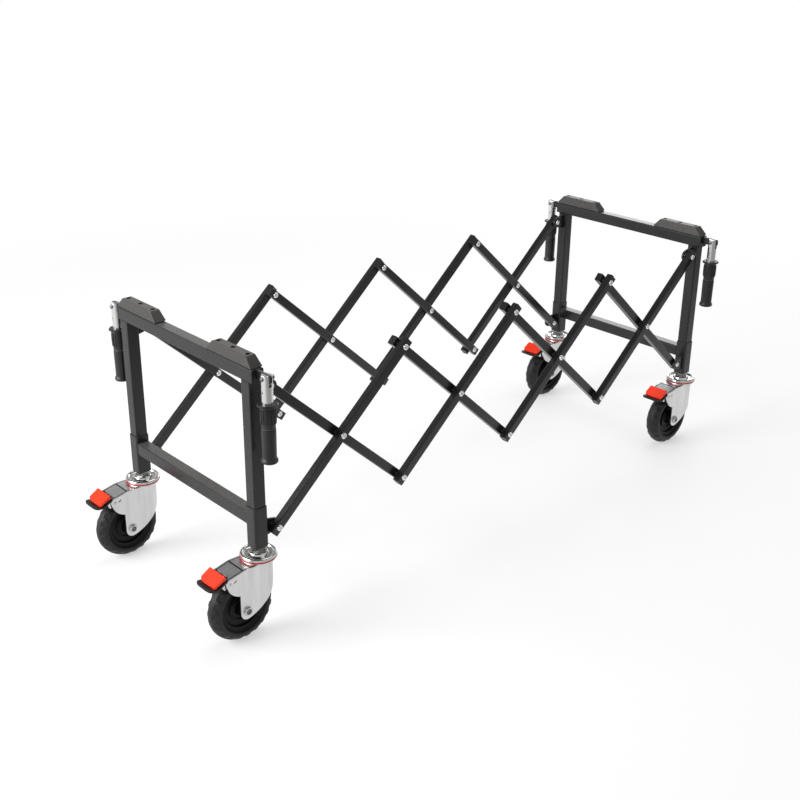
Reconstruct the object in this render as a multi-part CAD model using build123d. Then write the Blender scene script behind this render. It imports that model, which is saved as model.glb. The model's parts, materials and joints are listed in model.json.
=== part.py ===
from build123d import *
import math
import os

os.makedirs("parts", exist_ok=True)

# Folding casket cart. X runs along the cart from the front end to the rear end, Y across it
# (left is -Y) and Z up from the floor. The cart is drawn fully open, in millimetres.

# Clearances
RUN_CLEAR = 0.05        # radial, between a pin and the hole it turns in
SEAT_CLEAR = 0.05       # between pieces that are pressed or bolted together
SLIDE_CLEAR = 0.2       # each side, between a post and its sleeve or guide tube
PLAY = 0.3              # between faces that pass each other
OVERCUT = 1.0           # cutters past the faces they cut

# Scissor lattice
CELLS = 4
CELL_PITCH = 300.0      # pivot to pivot along the cart
LATTICE_HEIGHT = 270.0  # lower pivots to upper pivots
BAR_HEIGHT = 18.0
BAR_THICK = 15.0
BAR_WALL = 1.8
BAR_CORNER = 2.0
BAR_PLUG = 4.0          # closed end of a bar
BAR_OVERHANG = 15.0     # bar end past its end pivot
BAR_GAP = 2.0           # between the outer and the inner bar of a crossing
LATTICE_OUTSET = 2.5    # middle of a lattice outside the post axis

# Lattice pivots
PIVOT_D = 8.0
PIVOT_HEAD_D = 12.0
PIVOT_HEAD_TOP_D = 7.0
PIVOT_HEAD_H = 3.5
WASHER_D = 16.0

# End frames
POST_SPACING = 396.0    # post axis to post axis across the cart
TUBE = 25.0             # square tube of rails, posts and crossbars
TUBE_WALL = 2.0
TUBE_CORNER = 2.5
RAIL_ABOVE_PIVOT = 19.0     # underside of the top rail above the upper pivots
RAIL_OVERHANG = 4.0         # rail past the outer faces of the posts
SLEEVE_LENGTH = 80.0
SLEEVE_WALL = 1.6
SLEEVE_FLOOR = 4.0
GUIDE_LENGTH = 270.0        # guide tube, from the sleeve's foot
GUIDE_WALL = 2.0
GUIDE_CORNER = 1.0
POST_FOOT_GAP = 2.0         # post above the sleeve's floor
PIVOT_ABOVE_FOOT = 30.0     # lower pivots above the sleeve's foot
CROSSBAR_ABOVE_FOOT = 54.0  # middle of the crossbar above the sleeve's foot
BRACKET_REACH = 22.5        # post face to pivot
BRACKET_THICK = 5.0
BRACKET_NOSE_R = 12.5
BRACKET_ROOT = 36.0         # height of the bracket at the post

# Support pads
PAD_LENGTH = 134.0
PAD_TOP_LENGTH = 100.0
PAD_HEIGHT = 20.0
PAD_TOP_WIDTH = 20.0
PAD_OVERHANG = 2.5      # pad past the end of the rail
PAD_ROUND = 1.5
PAD_HOLE_INSET = 24.0   # outer screw holes in from the ends of the pad
PAD_HOLE_D = 9.0
PAD_HOLE_FLOOR = 6.0    # pad left under a screw head
SCREW_D = 4.0
SCREW_HEAD_D = 8.0
SCREW_HEAD_H = 2.6
SCREW_BITE = 4.0        # screw past the rail's top wall

# Handles
HANDLE_OUT = 29.5       # hinge pin outside the end of the rail
HANDLE_DROP = 8.5       # hinge pin below the top of the rail
HANDLE_TUBE_D = 20.0
HANDLE_TUBE_WALL = 1.5
HANDLE_TUBE_TOP = 7.0   # tube above the pin
HANDLE_SLOT = 13.5      # slot for the tongue, below the pin
HANDLE_HEAD = 18.0      # solid head of the tube, below the pin
HANDLE_PIN_D = 6.0
HANDLE_PIN_HEAD_D = 10.0
HANDLE_PIN_HEAD_H = 3.0
HINGE_CAP = 4.0
HINGE_PLUG = 14.0       # plug inside the rail
TONGUE_THICK = 5.0
TONGUE_HEIGHT = 16.0
TONGUE_NOSE = 12.5      # tongue past the pin
TONGUE_ROUND = 5.0
GRIP_BELOW_PIN = 44.5   # top of the grip's flange below the pin
GRIP_LENGTH = 109.0
GRIP_FLANGE_D = 36.6
GRIP_FLANGE_H = 4.0
GRIP_COLLAR_D = 28.4
GRIP_COLLAR_H = 42.5    # flange top to the end of the collar
GRIP_RING_D = 25.4
GRIP_RING_H = 3.5
GRIP_BODY_D = 26.0
GRIP_WAIST_D = 25.0
GRIP_END_D = 30.0
GRIP_END_H = 10.0
GRIP_END_ROUND = 3.0
GRIP_CAP = 6.0          # closed end of the grip below the tube

# Casters
WHEEL_D = 131.0
TYRE_WIDTH = 34.0
TYRE_RIM_D = 88.0       # tyre on hub
TYRE_BEAD_WIDTH = 20.0
TYRE_SHOULDER = 8.0
TYRE_CROWN = 1.5
TYRE_BEAD_RISE = 5.0
HUB_LENGTH = 43.4
HUB_BOSS_D = 30.0
HUB_WEB = 8.0
HUB_RIM_WALL = 6.0
HUB_RING_D = 54.0       # raised ring on the hub's web
HUB_RING_WALL = 3.0
HUB_RING_H = 4.0
AXLE_D = 10.0
AXLE_HEAD_D = 17.0      # across the corners
AXLE_HEAD_H = 4.5
TRAIL = 45.0            # swivel axis to axle
WHEEL_TOP_GAP = 15.0    # tyre to the underside of the fork's crown
FORK_SHEET = 3.0
FORK_STEP = 50.0        # swivel axis to the crown's bend
FORK_NOSE = 76.0        # swivel axis to the crown's front edge
FORK_NOSE_DROP = 6.0
FORK_SLIT = 2.0         # between the crown's nose and the cheeks
FORK_SLIT_END = 47.0    # swivel axis to the end of that slit
FORK_GROOVE = 2.0       # groove across the crown at its bend
FORK_GROOVE_DEPTH = 1.2
FORK_LOBE_R = 36.0
FORK_LOBE_X = 50.0
FORK_LOBE_DROP = 12.5   # centre of the lobe below the crown
FORK_LOBE_BULGE = 2.5   # rounding from the nose to the lobe
FORK_END_R = 14.0
FORK_END_DROP = 2.5     # centre of the leg's round tip below the axle
FORK_END_TURN = 72.0    # where the back edge meets the tip
FORK_BACK_X = 17.0      # middle of the back edge, in from the back
FORK_BACK_DROP = 66.0   # middle of the back edge below the crown
RACE_D = 62.0
RACE_H = 2.0
SEAL_D = 68.0
SEAL_BORE = 56.0
SEAL_H = 3.0
SEAL_LIP = 2.0
CUP_D = 67.0
CUP_H = 8.0
CUP_RIM = 4.0           # height of the cup's straight rim
CUP_BEVEL = 2.2
CUP_LEDGE_D = 52.0
CUP_BOSS_D = 36.0
NUT_FLATS = 24.0
NUT_H = 9.7
STEM_D = 12.0
STEM_RISE = 14.0        # stem above the sleeve's floor
STEM_HEAD_D = 22.0
STEM_HEAD_H = 3.0

# Brake pedals
PEDAL_REACH = 121.5     # swivel axis to the pedal's tip
PEDAL_WIDTH = 53.0
PEDAL_SHOULDER = 89.0   # swivel axis to where the pedal widens
PEDAL_NECK_WIDTH = 42.0     # between the fork's cheeks
PEDAL_SLOPE = 31.0
PEDAL_PLATE = 5.0
PEDAL_LENGTH = 24.0     # sloped plate behind the lip
PEDAL_ROOT = 10.0       # plate carried by an arm
PEDAL_SLOT = 94.0       # swivel axis to the end of the slot for the release pedal's arm
PEDAL_GAP = 1.5         # between the two pedals
PEDAL_LIP_R = 2.8
PEDAL_LIP_DROP = 15.8   # centre of the lip below the crown
PEDAL_PIN_X = 78.0
PEDAL_PIN_DROP = 16.0   # brake pin below the crown
PEDAL_PIN_D = 5.0
PEDAL_PIN_PROUD = 1.0   # brake pin past the outside of the fork
PEDAL_EYE_D = 11.0
SHOE_DROP = 9.0         # middle of the brake shoe below the pin
SHOE_LENGTH = 8.0
SHOE_GAP = 3.2          # shoe to tyre, released
RELEASE_LENGTH = 22.5
RELEASE_WIDTH = 48.0
RELEASE_THICK = 7.0
RELEASE_RISE = 3.2      # back top edge above the crown
RELEASE_BACK = 88.0     # swivel axis to the back top edge
RELEASE_ROUND = 2.0
RELEASE_ROOT = 9.0      # slab carried by the arm
RELEASE_LAP = 1.0       # arm into the slab
RELEASE_ARM = 14.0      # width of the release pedal's arm

# Heights, from the floor up
axle_z = WHEEL_D / 2
crown_z = WHEEL_D + WHEEL_TOP_GAP + FORK_SHEET
seal_z = crown_z + RACE_H + PLAY
cup_z = seal_z + SEAL_H
nut_z = cup_z + CUP_H
foot_z = nut_z + NUT_H
lower_pivot_z = foot_z + PIVOT_ABOVE_FOOT
upper_pivot_z = lower_pivot_z + LATTICE_HEIGHT
rail_z = upper_pivot_z + RAIL_ABOVE_PIVOT
pad_z = rail_z + TUBE
handle_pin_z = pad_z - HANDLE_DROP

# Places across the cart, on the right side
post_y = POST_SPACING / 2
rail_end = post_y + TUBE / 2 + RAIL_OVERHANG
lattice_y = post_y + LATTICE_OUTSET
outer_bar = (lattice_y + BAR_GAP / 2, lattice_y + BAR_GAP / 2 + BAR_THICK)
inner_bar = (lattice_y - BAR_GAP / 2 - BAR_THICK, lattice_y - BAR_GAP / 2)
outer_plate = (outer_bar[0], outer_bar[0] + BRACKET_THICK)
inner_plate = (inner_bar[1] - BRACKET_THICK, inner_bar[1])
pad_y = rail_end + PAD_OVERHANG - PAD_LENGTH / 2
pad_hole_y = [PAD_HOLE_INSET - PAD_LENGTH / 2, 0, PAD_LENGTH / 2 - PAD_HOLE_INSET]
handle_y = rail_end + HANDLE_OUT

# Places along the cart, with the middle of the whole length at zero
setback = TUBE / 2 + BRACKET_REACH
post_pitch = CELLS * CELL_PITCH + 2 * setback
front_x = -(post_pitch + SEAL_D / 2 - PEDAL_REACH) / 2
rear_x = front_x + post_pitch
pivot_x = [front_x + setback + i * CELL_PITCH for i in range(CELLS + 1)]

# Sizes that follow
bar_length = math.hypot(CELL_PITCH, LATTICE_HEIGHT)
bar_angle = math.degrees(math.atan2(LATTICE_HEIGHT, CELL_PITCH))
bore = TUBE - 2 * TUBE_WALL
guide = bore - 2 * SLIDE_CLEAR
socket = TUBE + 2 * SLIDE_CLEAR
sleeve = socket + 2 * SLEEVE_WALL
fork_half = HUB_LENGTH / 2 + PLAY + FORK_SHEET
brake_pin = (-PEDAL_PIN_X, crown_z - PEDAL_PIN_DROP)


def save(node, *pieces):
    """Write one node, with each of its pieces as a solid of its own."""
    solids = [solid for piece in pieces for solid in piece.solids()]
    export_step(Compound(solids) if len(solids) > 1 else solids[0], f"parts/{node}.step")


def pair(*pieces):
    """The given right-hand pieces and their left-hand twins."""
    return [mirror(piece, about=Plane.XZ) for piece in pieces] + list(pieces)


def slab(outline, y_low, y_high):
    """An outline drawn in X and Z, made solid between two Y planes."""
    return Pos(0, y_high, 0) * extrude(Plane.XZ * outline, amount=y_high - y_low)


def rod(radius, y_low, y_high):
    """A round bar along Y."""
    return Pos(0, (y_low + y_high) / 2, 0) * Rot(-90, 0, 0) * Cylinder(radius, y_high - y_low)


def post_of(radius, z_low, z_high):
    """A round bar along Z."""
    return Pos(0, 0, (z_low + z_high) / 2) * Cylinder(radius, z_high - z_low)


def ring(size, wall, corner):
    """Section of a square tube."""
    inside = size - 2 * wall
    return RectangleRounded(size, size, corner) - RectangleRounded(inside, inside, max(corner - wall, 0.5))


def shape(*points):
    """A flat outline with straight edges."""
    return make_face(Polyline(*points, close=True).edges())


def polar(centre, radius, degrees):
    """A point on a circle."""
    turn = math.radians(degrees)
    return (centre[0] + radius * math.cos(turn), centre[1] + radius * math.sin(turn))


def hull(radius, *points):
    """Outline stretched round a circle at the origin and some corner points."""
    corners = Polyline(*points, close=len(points) > 2)
    return make_hull(ShapeList(Circle(radius).edges() + corners.edges()))


# Scissor lattice
def bar(y_faces):
    """One lattice bar along X from its first pivot: closed square-ended tube with three pivot holes."""
    total = bar_length + 2 * BAR_OVERHANG
    section = Plane.YZ * RectangleRounded(BAR_THICK, BAR_HEIGHT, BAR_CORNER)
    inside = Plane.YZ * Rectangle(BAR_THICK - 2 * BAR_WALL, BAR_HEIGHT - 2 * BAR_WALL)
    body = Pos(-BAR_OVERHANG, 0, 0) * extrude(section, amount=total)
    body -= Pos(BAR_PLUG - BAR_OVERHANG, 0, 0) * extrude(inside, amount=total - 2 * BAR_PLUG)
    for x in (0, bar_length / 2, bar_length):
        body -= Pos(x, 0, 0) * rod(PIVOT_D / 2 + RUN_CLEAR, -BAR_THICK, BAR_THICK)
    return Pos(0, sum(y_faces) / 2, 0) * body


def pivot_bolt(y_inner, y_outer):
    """Pivot bolt with a domed head at each end, and the washer between the two plates it joins."""
    head = Pos(0, 0, PIVOT_HEAD_H / 2) * Cone(PIVOT_HEAD_D / 2, PIVOT_HEAD_TOP_D / 2, PIVOT_HEAD_H)
    inner_end = y_inner - PLAY
    bolt = rod(PIVOT_D / 2, inner_end, y_outer)
    bolt += Pos(0, y_outer, 0) * Rot(-90, 0, 0) * head
    bolt += Pos(0, inner_end, 0) * Rot(90, 0, 0) * head
    washer_y = (outer_bar[0] - BAR_GAP + PLAY, outer_bar[0])
    washer = rod(WASHER_D / 2, *washer_y) - rod(PIVOT_D / 2 + SEAT_CLEAR, *washer_y)
    return [bolt, washer]


def bolts_at(places, y_inner, y_outer):
    """Pivot bolts with washers on both sides of the cart, at places given in X and Z."""
    placed = [Pos(x, 0, z) * piece for x, z in places for piece in pivot_bolt(y_inner, y_outer)]
    return pair(*placed)


for i in range(CELLS):
    rising = Pos(pivot_x[i], 0, lower_pivot_z) * Rot(0, -bar_angle, 0) * bar(outer_bar)
    falling = Pos(pivot_x[i], 0, upper_pivot_z) * Rot(0, bar_angle, 0) * bar(inner_bar)
    save(f"scissor_bars_a{i + 1}", *pair(rising))
    save(f"scissor_bars_b{i + 1}", *pair(falling))
    low = (pivot_x[i], lower_pivot_z)
    high = (pivot_x[i + 1], upper_pivot_z)
    crossing = (pivot_x[i] + CELL_PITCH / 2, lower_pivot_z + LATTICE_HEIGHT / 2)
    at_bars = [crossing] + ([low] if i > 0 else []) + ([high] if i < CELLS - 1 else [])
    at_brackets = ([low] if i == 0 else []) + ([high] if i == CELLS - 1 else [])
    save(f"pivot_bolts_a{i + 1}", *bolts_at(at_bars, inner_bar[0], outer_bar[1]),
         *bolts_at(at_brackets, inner_plate[0], outer_bar[1]))


# End frames
def bracket(to_face, plate_y, toward):
    """Pivot bracket: a plate that narrows from its weld on the post to a round nose about the pivot."""
    root = -toward * to_face
    outline = hull(BRACKET_NOSE_R, (root, -BRACKET_ROOT / 2), (root, BRACKET_ROOT / 2))
    return slab(outline - Circle(PIVOT_D / 2 + RUN_CLEAR), *plate_y)


def post(toward, plate_y):
    """Hollow post from the sleeve up to the rail, with its upper pivot bracket."""
    low = foot_z + SLEEVE_FLOOR + POST_FOOT_GAP
    body = Pos(0, post_y, low) * extrude(ring(TUBE, TUBE_WALL, TUBE_CORNER), amount=rail_z - low)
    weld = BRACKET_REACH + TUBE_WALL / 2
    return body + Pos(toward * setback, 0, upper_pivot_z) * bracket(weld, plate_y, toward)


def socket_sleeve(toward, plate_y):
    """Socket for a post: outer sleeve, floor, guide tube up the post's bore and lower pivot bracket."""
    corner = TUBE_CORNER + SLIDE_CLEAR + SLEEVE_WALL
    body = extrude(ring(sleeve, SLEEVE_WALL, corner), amount=SLEEVE_LENGTH)
    body += extrude(RectangleRounded(sleeve, sleeve, corner), amount=SLEEVE_FLOOR)
    body += extrude(ring(guide, GUIDE_WALL, GUIDE_CORNER), amount=GUIDE_LENGTH)
    body -= post_of(STEM_D / 2 + SEAT_CLEAR, -OVERCUT, SLEEVE_FLOOR + OVERCUT)
    weld = setback - (sleeve - SLEEVE_WALL) / 2
    lug = Pos(toward * setback, 0, lower_pivot_z) * bracket(weld, plate_y, toward)
    return Pos(0, post_y, foot_z) * body + lug


def pad():
    """Support pad with sloped ends, sloped faces and three deep screw holes, resting on z = 0."""
    end_slope = (PAD_LENGTH - PAD_TOP_LENGTH) / 2
    side_slope = (TUBE - PAD_TOP_WIDTH) / 2
    along = shape((-PAD_LENGTH / 2, 0), (PAD_LENGTH / 2, 0),
                  (PAD_LENGTH / 2 - end_slope, PAD_HEIGHT), (end_slope - PAD_LENGTH / 2, PAD_HEIGHT))
    across = shape((-TUBE / 2, 0), (TUBE / 2, 0),
                   (TUBE / 2 - side_slope, PAD_HEIGHT), (side_slope - TUBE / 2, PAD_HEIGHT))
    body = extrude(Plane.YZ * along, amount=TUBE / 2, both=True)
    body &= slab(across, -PAD_LENGTH / 2, PAD_LENGTH / 2)
    body = fillet(body.edges().filter_by(lambda e: e.center().Z > PAD_ROUND), PAD_ROUND)
    for y in pad_hole_y:
        body -= Pos(0, y, 0) * post_of(PAD_HOLE_D / 2, PAD_HOLE_FLOOR, PAD_HEIGHT + OVERCUT)
        body -= Pos(0, y, 0) * post_of(SCREW_D / 2 + SEAT_CLEAR, -OVERCUT, PAD_HOLE_FLOOR + OVERCUT)
    return body


def pad_screw():
    """Pad screw, standing on its pad's hole floor, with the pad's foot at z = 0."""
    shank = post_of(SCREW_D / 2, -TUBE_WALL - SCREW_BITE, PAD_HOLE_FLOOR)
    return shank + post_of(SCREW_HEAD_D / 2, PAD_HOLE_FLOOR, PAD_HOLE_FLOOR + SCREW_HEAD_H)


def rail():
    """Top rail across the cart, with the pad screws' holes in its top wall."""
    body = slab(Pos(0, rail_z + TUBE / 2) * ring(TUBE, TUBE_WALL, TUBE_CORNER), -rail_end, rail_end)
    hole = post_of(SCREW_D / 2 + SEAT_CLEAR, pad_z - 2 * TUBE_WALL, pad_z + OVERCUT)
    for y in pad_hole_y:
        for drilled in pair(Pos(0, pad_y + y, 0) * hole):
            body -= drilled
    return body


# Handles, drawn about the hinge pin
def hinge():
    """Handle hinge: plug and cap for the rail's end and the flat tongue that the handle hangs on."""
    rail_middle = HANDLE_DROP - TUBE / 2
    plug = bore - 2 * SEAT_CLEAR
    square = Pos(0, rail_middle) * RectangleRounded(plug, plug, GUIDE_CORNER)
    cover = Pos(0, rail_middle) * RectangleRounded(TUBE, TUBE, TUBE_CORNER)
    body = slab(square, -HANDLE_OUT - HINGE_PLUG, -HANDLE_OUT)
    body += slab(cover, -HANDLE_OUT, HINGE_CAP - HANDLE_OUT)
    reach = HANDLE_OUT - HINGE_CAP
    tongue = Pos((TONGUE_NOSE - reach) / 2, 0) * Rectangle(reach + TONGUE_NOSE, TONGUE_HEIGHT)
    tongue = fillet(tongue.vertices().group_by(Axis.X)[-1], TONGUE_ROUND)
    tongue -= Circle(HANDLE_PIN_D / 2 + SEAT_CLEAR)
    return body + extrude(Plane.YZ * tongue, amount=TONGUE_THICK / 2, both=True)


def hinge_pin():
    """Hinge pin along X, with its head toward the front and a nut toward the rear."""
    reach = HANDLE_TUBE_D / 2 + PLAY
    pin = Rot(0, 90, 0) * Cylinder(HANDLE_PIN_D / 2, 2 * reach)
    middle = reach + HANDLE_PIN_HEAD_H / 2
    pin += Pos(-middle, 0, 0) * Rot(0, 90, 0) * Cylinder(HANDLE_PIN_HEAD_D / 2, HANDLE_PIN_HEAD_H)
    nut = extrude(Plane.YZ * RegularPolygon(HANDLE_PIN_HEAD_D / 2, 6), amount=HANDLE_PIN_HEAD_H)
    return pin + Pos(reach, 0, 0) * nut


def handle_tube():
    """Handle tube, hanging down, with a solid head that is slotted for the tongue and drilled for the pin."""
    low = GRIP_CAP - GRIP_BELOW_PIN - GRIP_LENGTH
    body = post_of(HANDLE_TUBE_D / 2, low, HANDLE_TUBE_TOP)
    body -= post_of(HANDLE_TUBE_D / 2 - HANDLE_TUBE_WALL, low - OVERCUT, -HANDLE_HEAD)
    slot_height = HANDLE_SLOT + HANDLE_TUBE_TOP + OVERCUT
    slot = Box(TONGUE_THICK + 2 * PLAY, 2 * HANDLE_TUBE_D, slot_height)
    body -= Pos(0, 0, slot_height / 2 - HANDLE_SLOT) * slot
    return body - Rot(0, 90, 0) * Cylinder(HANDLE_PIN_D / 2 + RUN_CLEAR, 2 * HANDLE_TUBE_D)


def handle_grip():
    """Grip round the handle tube: bevelled flange, collar, ring groove, waisted body and flared end."""
    inside = HANDLE_TUBE_D / 2 + SEAT_CLEAR
    flange, collar, groove = GRIP_FLANGE_D / 2, GRIP_COLLAR_D / 2, GRIP_RING_D / 2
    ring_end = GRIP_COLLAR_H + GRIP_RING_H
    flare = GRIP_LENGTH - GRIP_END_H
    end = GRIP_END_D / 2
    points = [(inside, 0), (flange - GRIP_FLANGE_H / 2, 0), (flange, -GRIP_FLANGE_H / 2),
              (flange, -GRIP_FLANGE_H), (collar, -GRIP_FLANGE_H), (collar, -GRIP_COLLAR_H),
              (groove, -GRIP_COLLAR_H), (groove, -ring_end), (GRIP_BODY_D / 2, -ring_end),
              (GRIP_WAIST_D / 2, -flare), (end, -flare - GRIP_END_H / 2),
              (end, GRIP_END_ROUND - GRIP_LENGTH), (end - GRIP_END_ROUND, -GRIP_LENGTH),
              (0, -GRIP_LENGTH), (0, GRIP_CAP - GRIP_LENGTH), (inside, GRIP_CAP - GRIP_LENGTH)]
    return Pos(0, 0, -GRIP_BELOW_PIN) * revolve(Plane.XZ * shape(*points), Axis.Z)


# Casters, drawn about the swivel axis with the wheel toward the front
def round_wheel(*points):
    """A body of revolution about the axle, from an outline of radius against width."""
    return Pos(-TRAIL, 0, axle_z) * revolve(shape(*points), Axis.Y)


def tyre():
    """Tyre with a crowned tread, round shoulders and sloped beads."""
    rim, out, half = TYRE_RIM_D / 2 + SEAT_CLEAR, axle_z, TYRE_WIDTH / 2
    bead, edge = TYRE_BEAD_WIDTH / 2, TYRE_WIDTH / 2 - TYRE_SHOULDER
    knee = polar((out - TYRE_CROWN - TYRE_SHOULDER, edge), TYRE_SHOULDER, 45)
    side = [Line((rim, 0), (rim, bead)), Line((rim, bead), (rim + TYRE_BEAD_RISE, half)),
            Line((rim + TYRE_BEAD_RISE, half), (out - TYRE_CROWN - TYRE_SHOULDER, half)),
            ThreePointArc((out - TYRE_CROWN - TYRE_SHOULDER, half), knee, (out - TYRE_CROWN, edge))]
    outline = side + [mirror(edge_line, about=Plane.XZ) for edge_line in side]
    outline.append(ThreePointArc((out - TYRE_CROWN, edge), (out, 0), (out - TYRE_CROWN, -edge)))
    section = make_face(ShapeList([e for part in outline for e in part.edges()]))
    return Pos(-TRAIL, 0, axle_z) * revolve(section, Axis.Y)


def hub():
    """Wheel centre: boss, thin web with a raised ring on each side and a rim for the tyre."""
    hole, boss, rim = AXLE_D / 2 + RUN_CLEAR, HUB_BOSS_D / 2, TYRE_RIM_D / 2
    ring_in = HUB_RING_D / 2 - HUB_RING_WALL
    web, raised, half = HUB_WEB / 2, HUB_WEB / 2 + HUB_RING_H, TYRE_BEAD_WIDTH / 2
    side = [(hole, HUB_LENGTH / 2), (boss, HUB_LENGTH / 2), (boss, web), (ring_in, web), (ring_in, raised),
            (HUB_RING_D / 2, raised), (HUB_RING_D / 2, web), (rim - HUB_RIM_WALL, web),
            (rim - HUB_RIM_WALL, half), (rim, half)]
    return round_wheel(*side, *[(r, -w) for r, w in reversed(side)])


def at_pin(radius, half):
    """A round bar along Y on the brake pin's axis."""
    return Pos(brake_pin[0], 0, brake_pin[1]) * rod(radius, -half, half)


def fork_outline():
    """Fork seen from the side: crown with its bent nose, lobed cheeks, legs and long curved back edge."""
    tip = (-TRAIL, axle_z - FORK_END_DROP)
    lobe = (-FORK_LOBE_X, crown_z - FORK_LOBE_DROP)
    leg_x = -TRAIL - FORK_END_R
    notch = (leg_x, lobe[1] - math.sqrt(FORK_LOBE_R ** 2 - (leg_x - lobe[0]) ** 2))
    lobe_tip = (lobe[0] - FORK_LOBE_R, lobe[1])
    bend, nose = (-FORK_STEP, crown_z), (-FORK_NOSE, crown_z - FORK_NOSE_DROP)
    meet = polar(tip, FORK_END_R, -FORK_END_TURN)
    back = (fork_half, crown_z)
    edges = [Line(back, bend), Line(bend, nose), SagittaArc(nose, lobe_tip, -FORK_LOBE_BULGE),
             ThreePointArc(lobe_tip, polar(lobe, FORK_LOBE_R, 215), notch), Line(notch, (leg_x, tip[1])),
             ThreePointArc((leg_x, tip[1]), polar(tip, FORK_END_R, -130), meet),
             ThreePointArc(meet, (fork_half - FORK_BACK_X, crown_z - FORK_BACK_DROP), back)]
    return make_face(ShapeList([e for part in edges for e in part.edges()]))


def fork():
    """Pressed fork: a round-backed shell trimmed to its side outline, open below and at the nose."""
    reach = FORK_LOBE_X + FORK_LOBE_R

    def plan(half):
        return Pos(-reach / 2, 0) * Rectangle(reach, 2 * half) + Circle(half)

    under, nose_under = crown_z - FORK_SHEET, crown_z - FORK_NOSE_DROP - FORK_SHEET
    open_under = shape((fork_half, 0), (fork_half, under), (-FORK_STEP, under), (-FORK_NOSE, nose_under),
                       (-FORK_NOSE, crown_z), (-reach - OVERCUT, crown_z), (-reach - OVERCUT, 0))
    shell = extrude(plan(fork_half), amount=crown_z) & slab(fork_outline(), -fork_half, fork_half)
    shell -= extrude(plan(fork_half - FORK_SHEET), amount=crown_z) & slab(open_under, -fork_half, fork_half)
    shell += post_of(RACE_D / 2, crown_z - FORK_SHEET / 2, crown_z + RACE_H)
    shell -= post_of(STEM_D / 2 + RUN_CLEAR, 0, seal_z)
    slit = Box(FORK_NOSE - FORK_SLIT_END, FORK_SLIT, 4 * FORK_NOSE_DROP)
    slit = Pos(-(FORK_NOSE + FORK_SLIT_END) / 2, fork_half - FORK_SHEET - FORK_SLIT / 2, crown_z) * slit
    for cutter in pair(slit):
        shell -= cutter
    groove = Box(FORK_GROOVE, 2 * (fork_half - FORK_SHEET), 2 * FORK_GROOVE_DEPTH)
    shell -= Pos(FORK_GROOVE / 2 - FORK_STEP, 0, crown_z) * groove
    shell -= Pos(-TRAIL, 0, axle_z) * rod(AXLE_D / 2 + SEAT_CLEAR, -2 * fork_half, 2 * fork_half)
    return shell - at_pin(PEDAL_PIN_D / 2 + SEAT_CLEAR, 2 * fork_half)


def axle():
    """Axle bolt with a hexagon at each end."""
    hexagon = RegularPolygon(AXLE_HEAD_D / 2, 6)
    body = rod(AXLE_D / 2, -fork_half, fork_half)
    body += slab(hexagon, fork_half, fork_half + AXLE_HEAD_H)
    body += slab(hexagon, -fork_half - AXLE_HEAD_H, -fork_half)
    return Pos(-TRAIL, 0, axle_z) * body


def pedal_pin():
    """Brake pin through the fork's cheeks."""
    return at_pin(PEDAL_PIN_D / 2, fork_half + PEDAL_PIN_PROUD)


def on_slope(along, below):
    """A point down the pedals' slope from the release pedal's back top edge, and below its top face."""
    turn = math.radians(PEDAL_SLOPE)
    x = -RELEASE_BACK - along * math.cos(turn) + below * math.sin(turn)
    return (x, crown_z + RELEASE_RISE - along * math.sin(turn) - below * math.cos(turn))


def from_pin(*points):
    """Points taken relative to the brake pin."""
    return [(x - brake_pin[0], z - brake_pin[1]) for x, z in points]


def brake_pedal():
    """Black pedal: sloped plate with a round lip, and two arms with the brake shoe back to the pin."""
    top, under = RELEASE_THICK + PEDAL_GAP, RELEASE_THICK + PEDAL_GAP + PEDAL_PLATE
    lip = (PEDAL_LIP_R - PEDAL_REACH, crown_z - PEDAL_LIP_DROP)
    front = (on_slope(PEDAL_LENGTH, top), on_slope(PEDAL_LENGTH, under))
    plate = shape(on_slope(0, top), front[0], front[1], on_slope(0, under))
    edge = Pos(*lip) * hull(PEDAL_LIP_R, *[(x - lip[0], z - lip[1]) for x, z in front])
    body = slab(plate + edge, -PEDAL_WIDTH / 2, PEDAL_WIDTH / 2)
    neck = Pos(-PEDAL_SHOULDER + fork_half, 0, crown_z) * Box(2 * fork_half, 2 * PEDAL_WIDTH, 2 * crown_z)
    body -= neck - Box(4 * PEDAL_REACH, PEDAL_NECK_WIDTH, 4 * crown_z)
    slot = 2 * (PEDAL_SLOT - PEDAL_PIN_X)
    body -= Pos(-PEDAL_PIN_X, 0, crown_z) * Box(slot, RELEASE_ARM + 2 * PEDAL_GAP, 2 * crown_z)
    arm = Pos(*brake_pin) * hull(PEDAL_EYE_D / 2, *from_pin(
        on_slope(0, top), on_slope(PEDAL_ROOT, top), on_slope(PEDAL_ROOT, under), on_slope(0, under)))
    shoe = Rectangle(SHOE_LENGTH, 2 * SHOE_DROP)
    shoe = Pos(brake_pin[0] - SHOE_LENGTH / 2, brake_pin[1] - SHOE_DROP) * shoe
    shoe -= Pos(-TRAIL, axle_z) * Circle(axle_z + SHOE_GAP)
    arms = slab(arm + shoe, RELEASE_ARM / 2 + PEDAL_GAP, PEDAL_NECK_WIDTH / 2)
    for piece in pair(arms):
        body += piece
    return body - at_pin(PEDAL_PIN_D / 2 + RUN_CLEAR, PEDAL_WIDTH)


def release_pedal():
    """Orange pedal: rounded slab above the black one, on an arm to the same pin."""
    block = shape(on_slope(0, 0), on_slope(RELEASE_LENGTH, 0),
                  on_slope(RELEASE_LENGTH, RELEASE_THICK), on_slope(0, RELEASE_THICK))
    body = slab(block, -RELEASE_WIDTH / 2, RELEASE_WIDTH / 2)
    body = fillet(body.edges().filter_by(Axis.Y), RELEASE_ROUND)
    seat = RELEASE_THICK - RELEASE_LAP
    arm = Pos(*brake_pin) * hull(PEDAL_EYE_D / 2, *from_pin(
        on_slope(RELEASE_ROUND, seat), on_slope(RELEASE_ROOT, seat)))
    body += slab(arm, -RELEASE_ARM / 2, RELEASE_ARM / 2)
    return body - at_pin(PEDAL_PIN_D / 2 + RUN_CLEAR, PEDAL_WIDTH)


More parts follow.
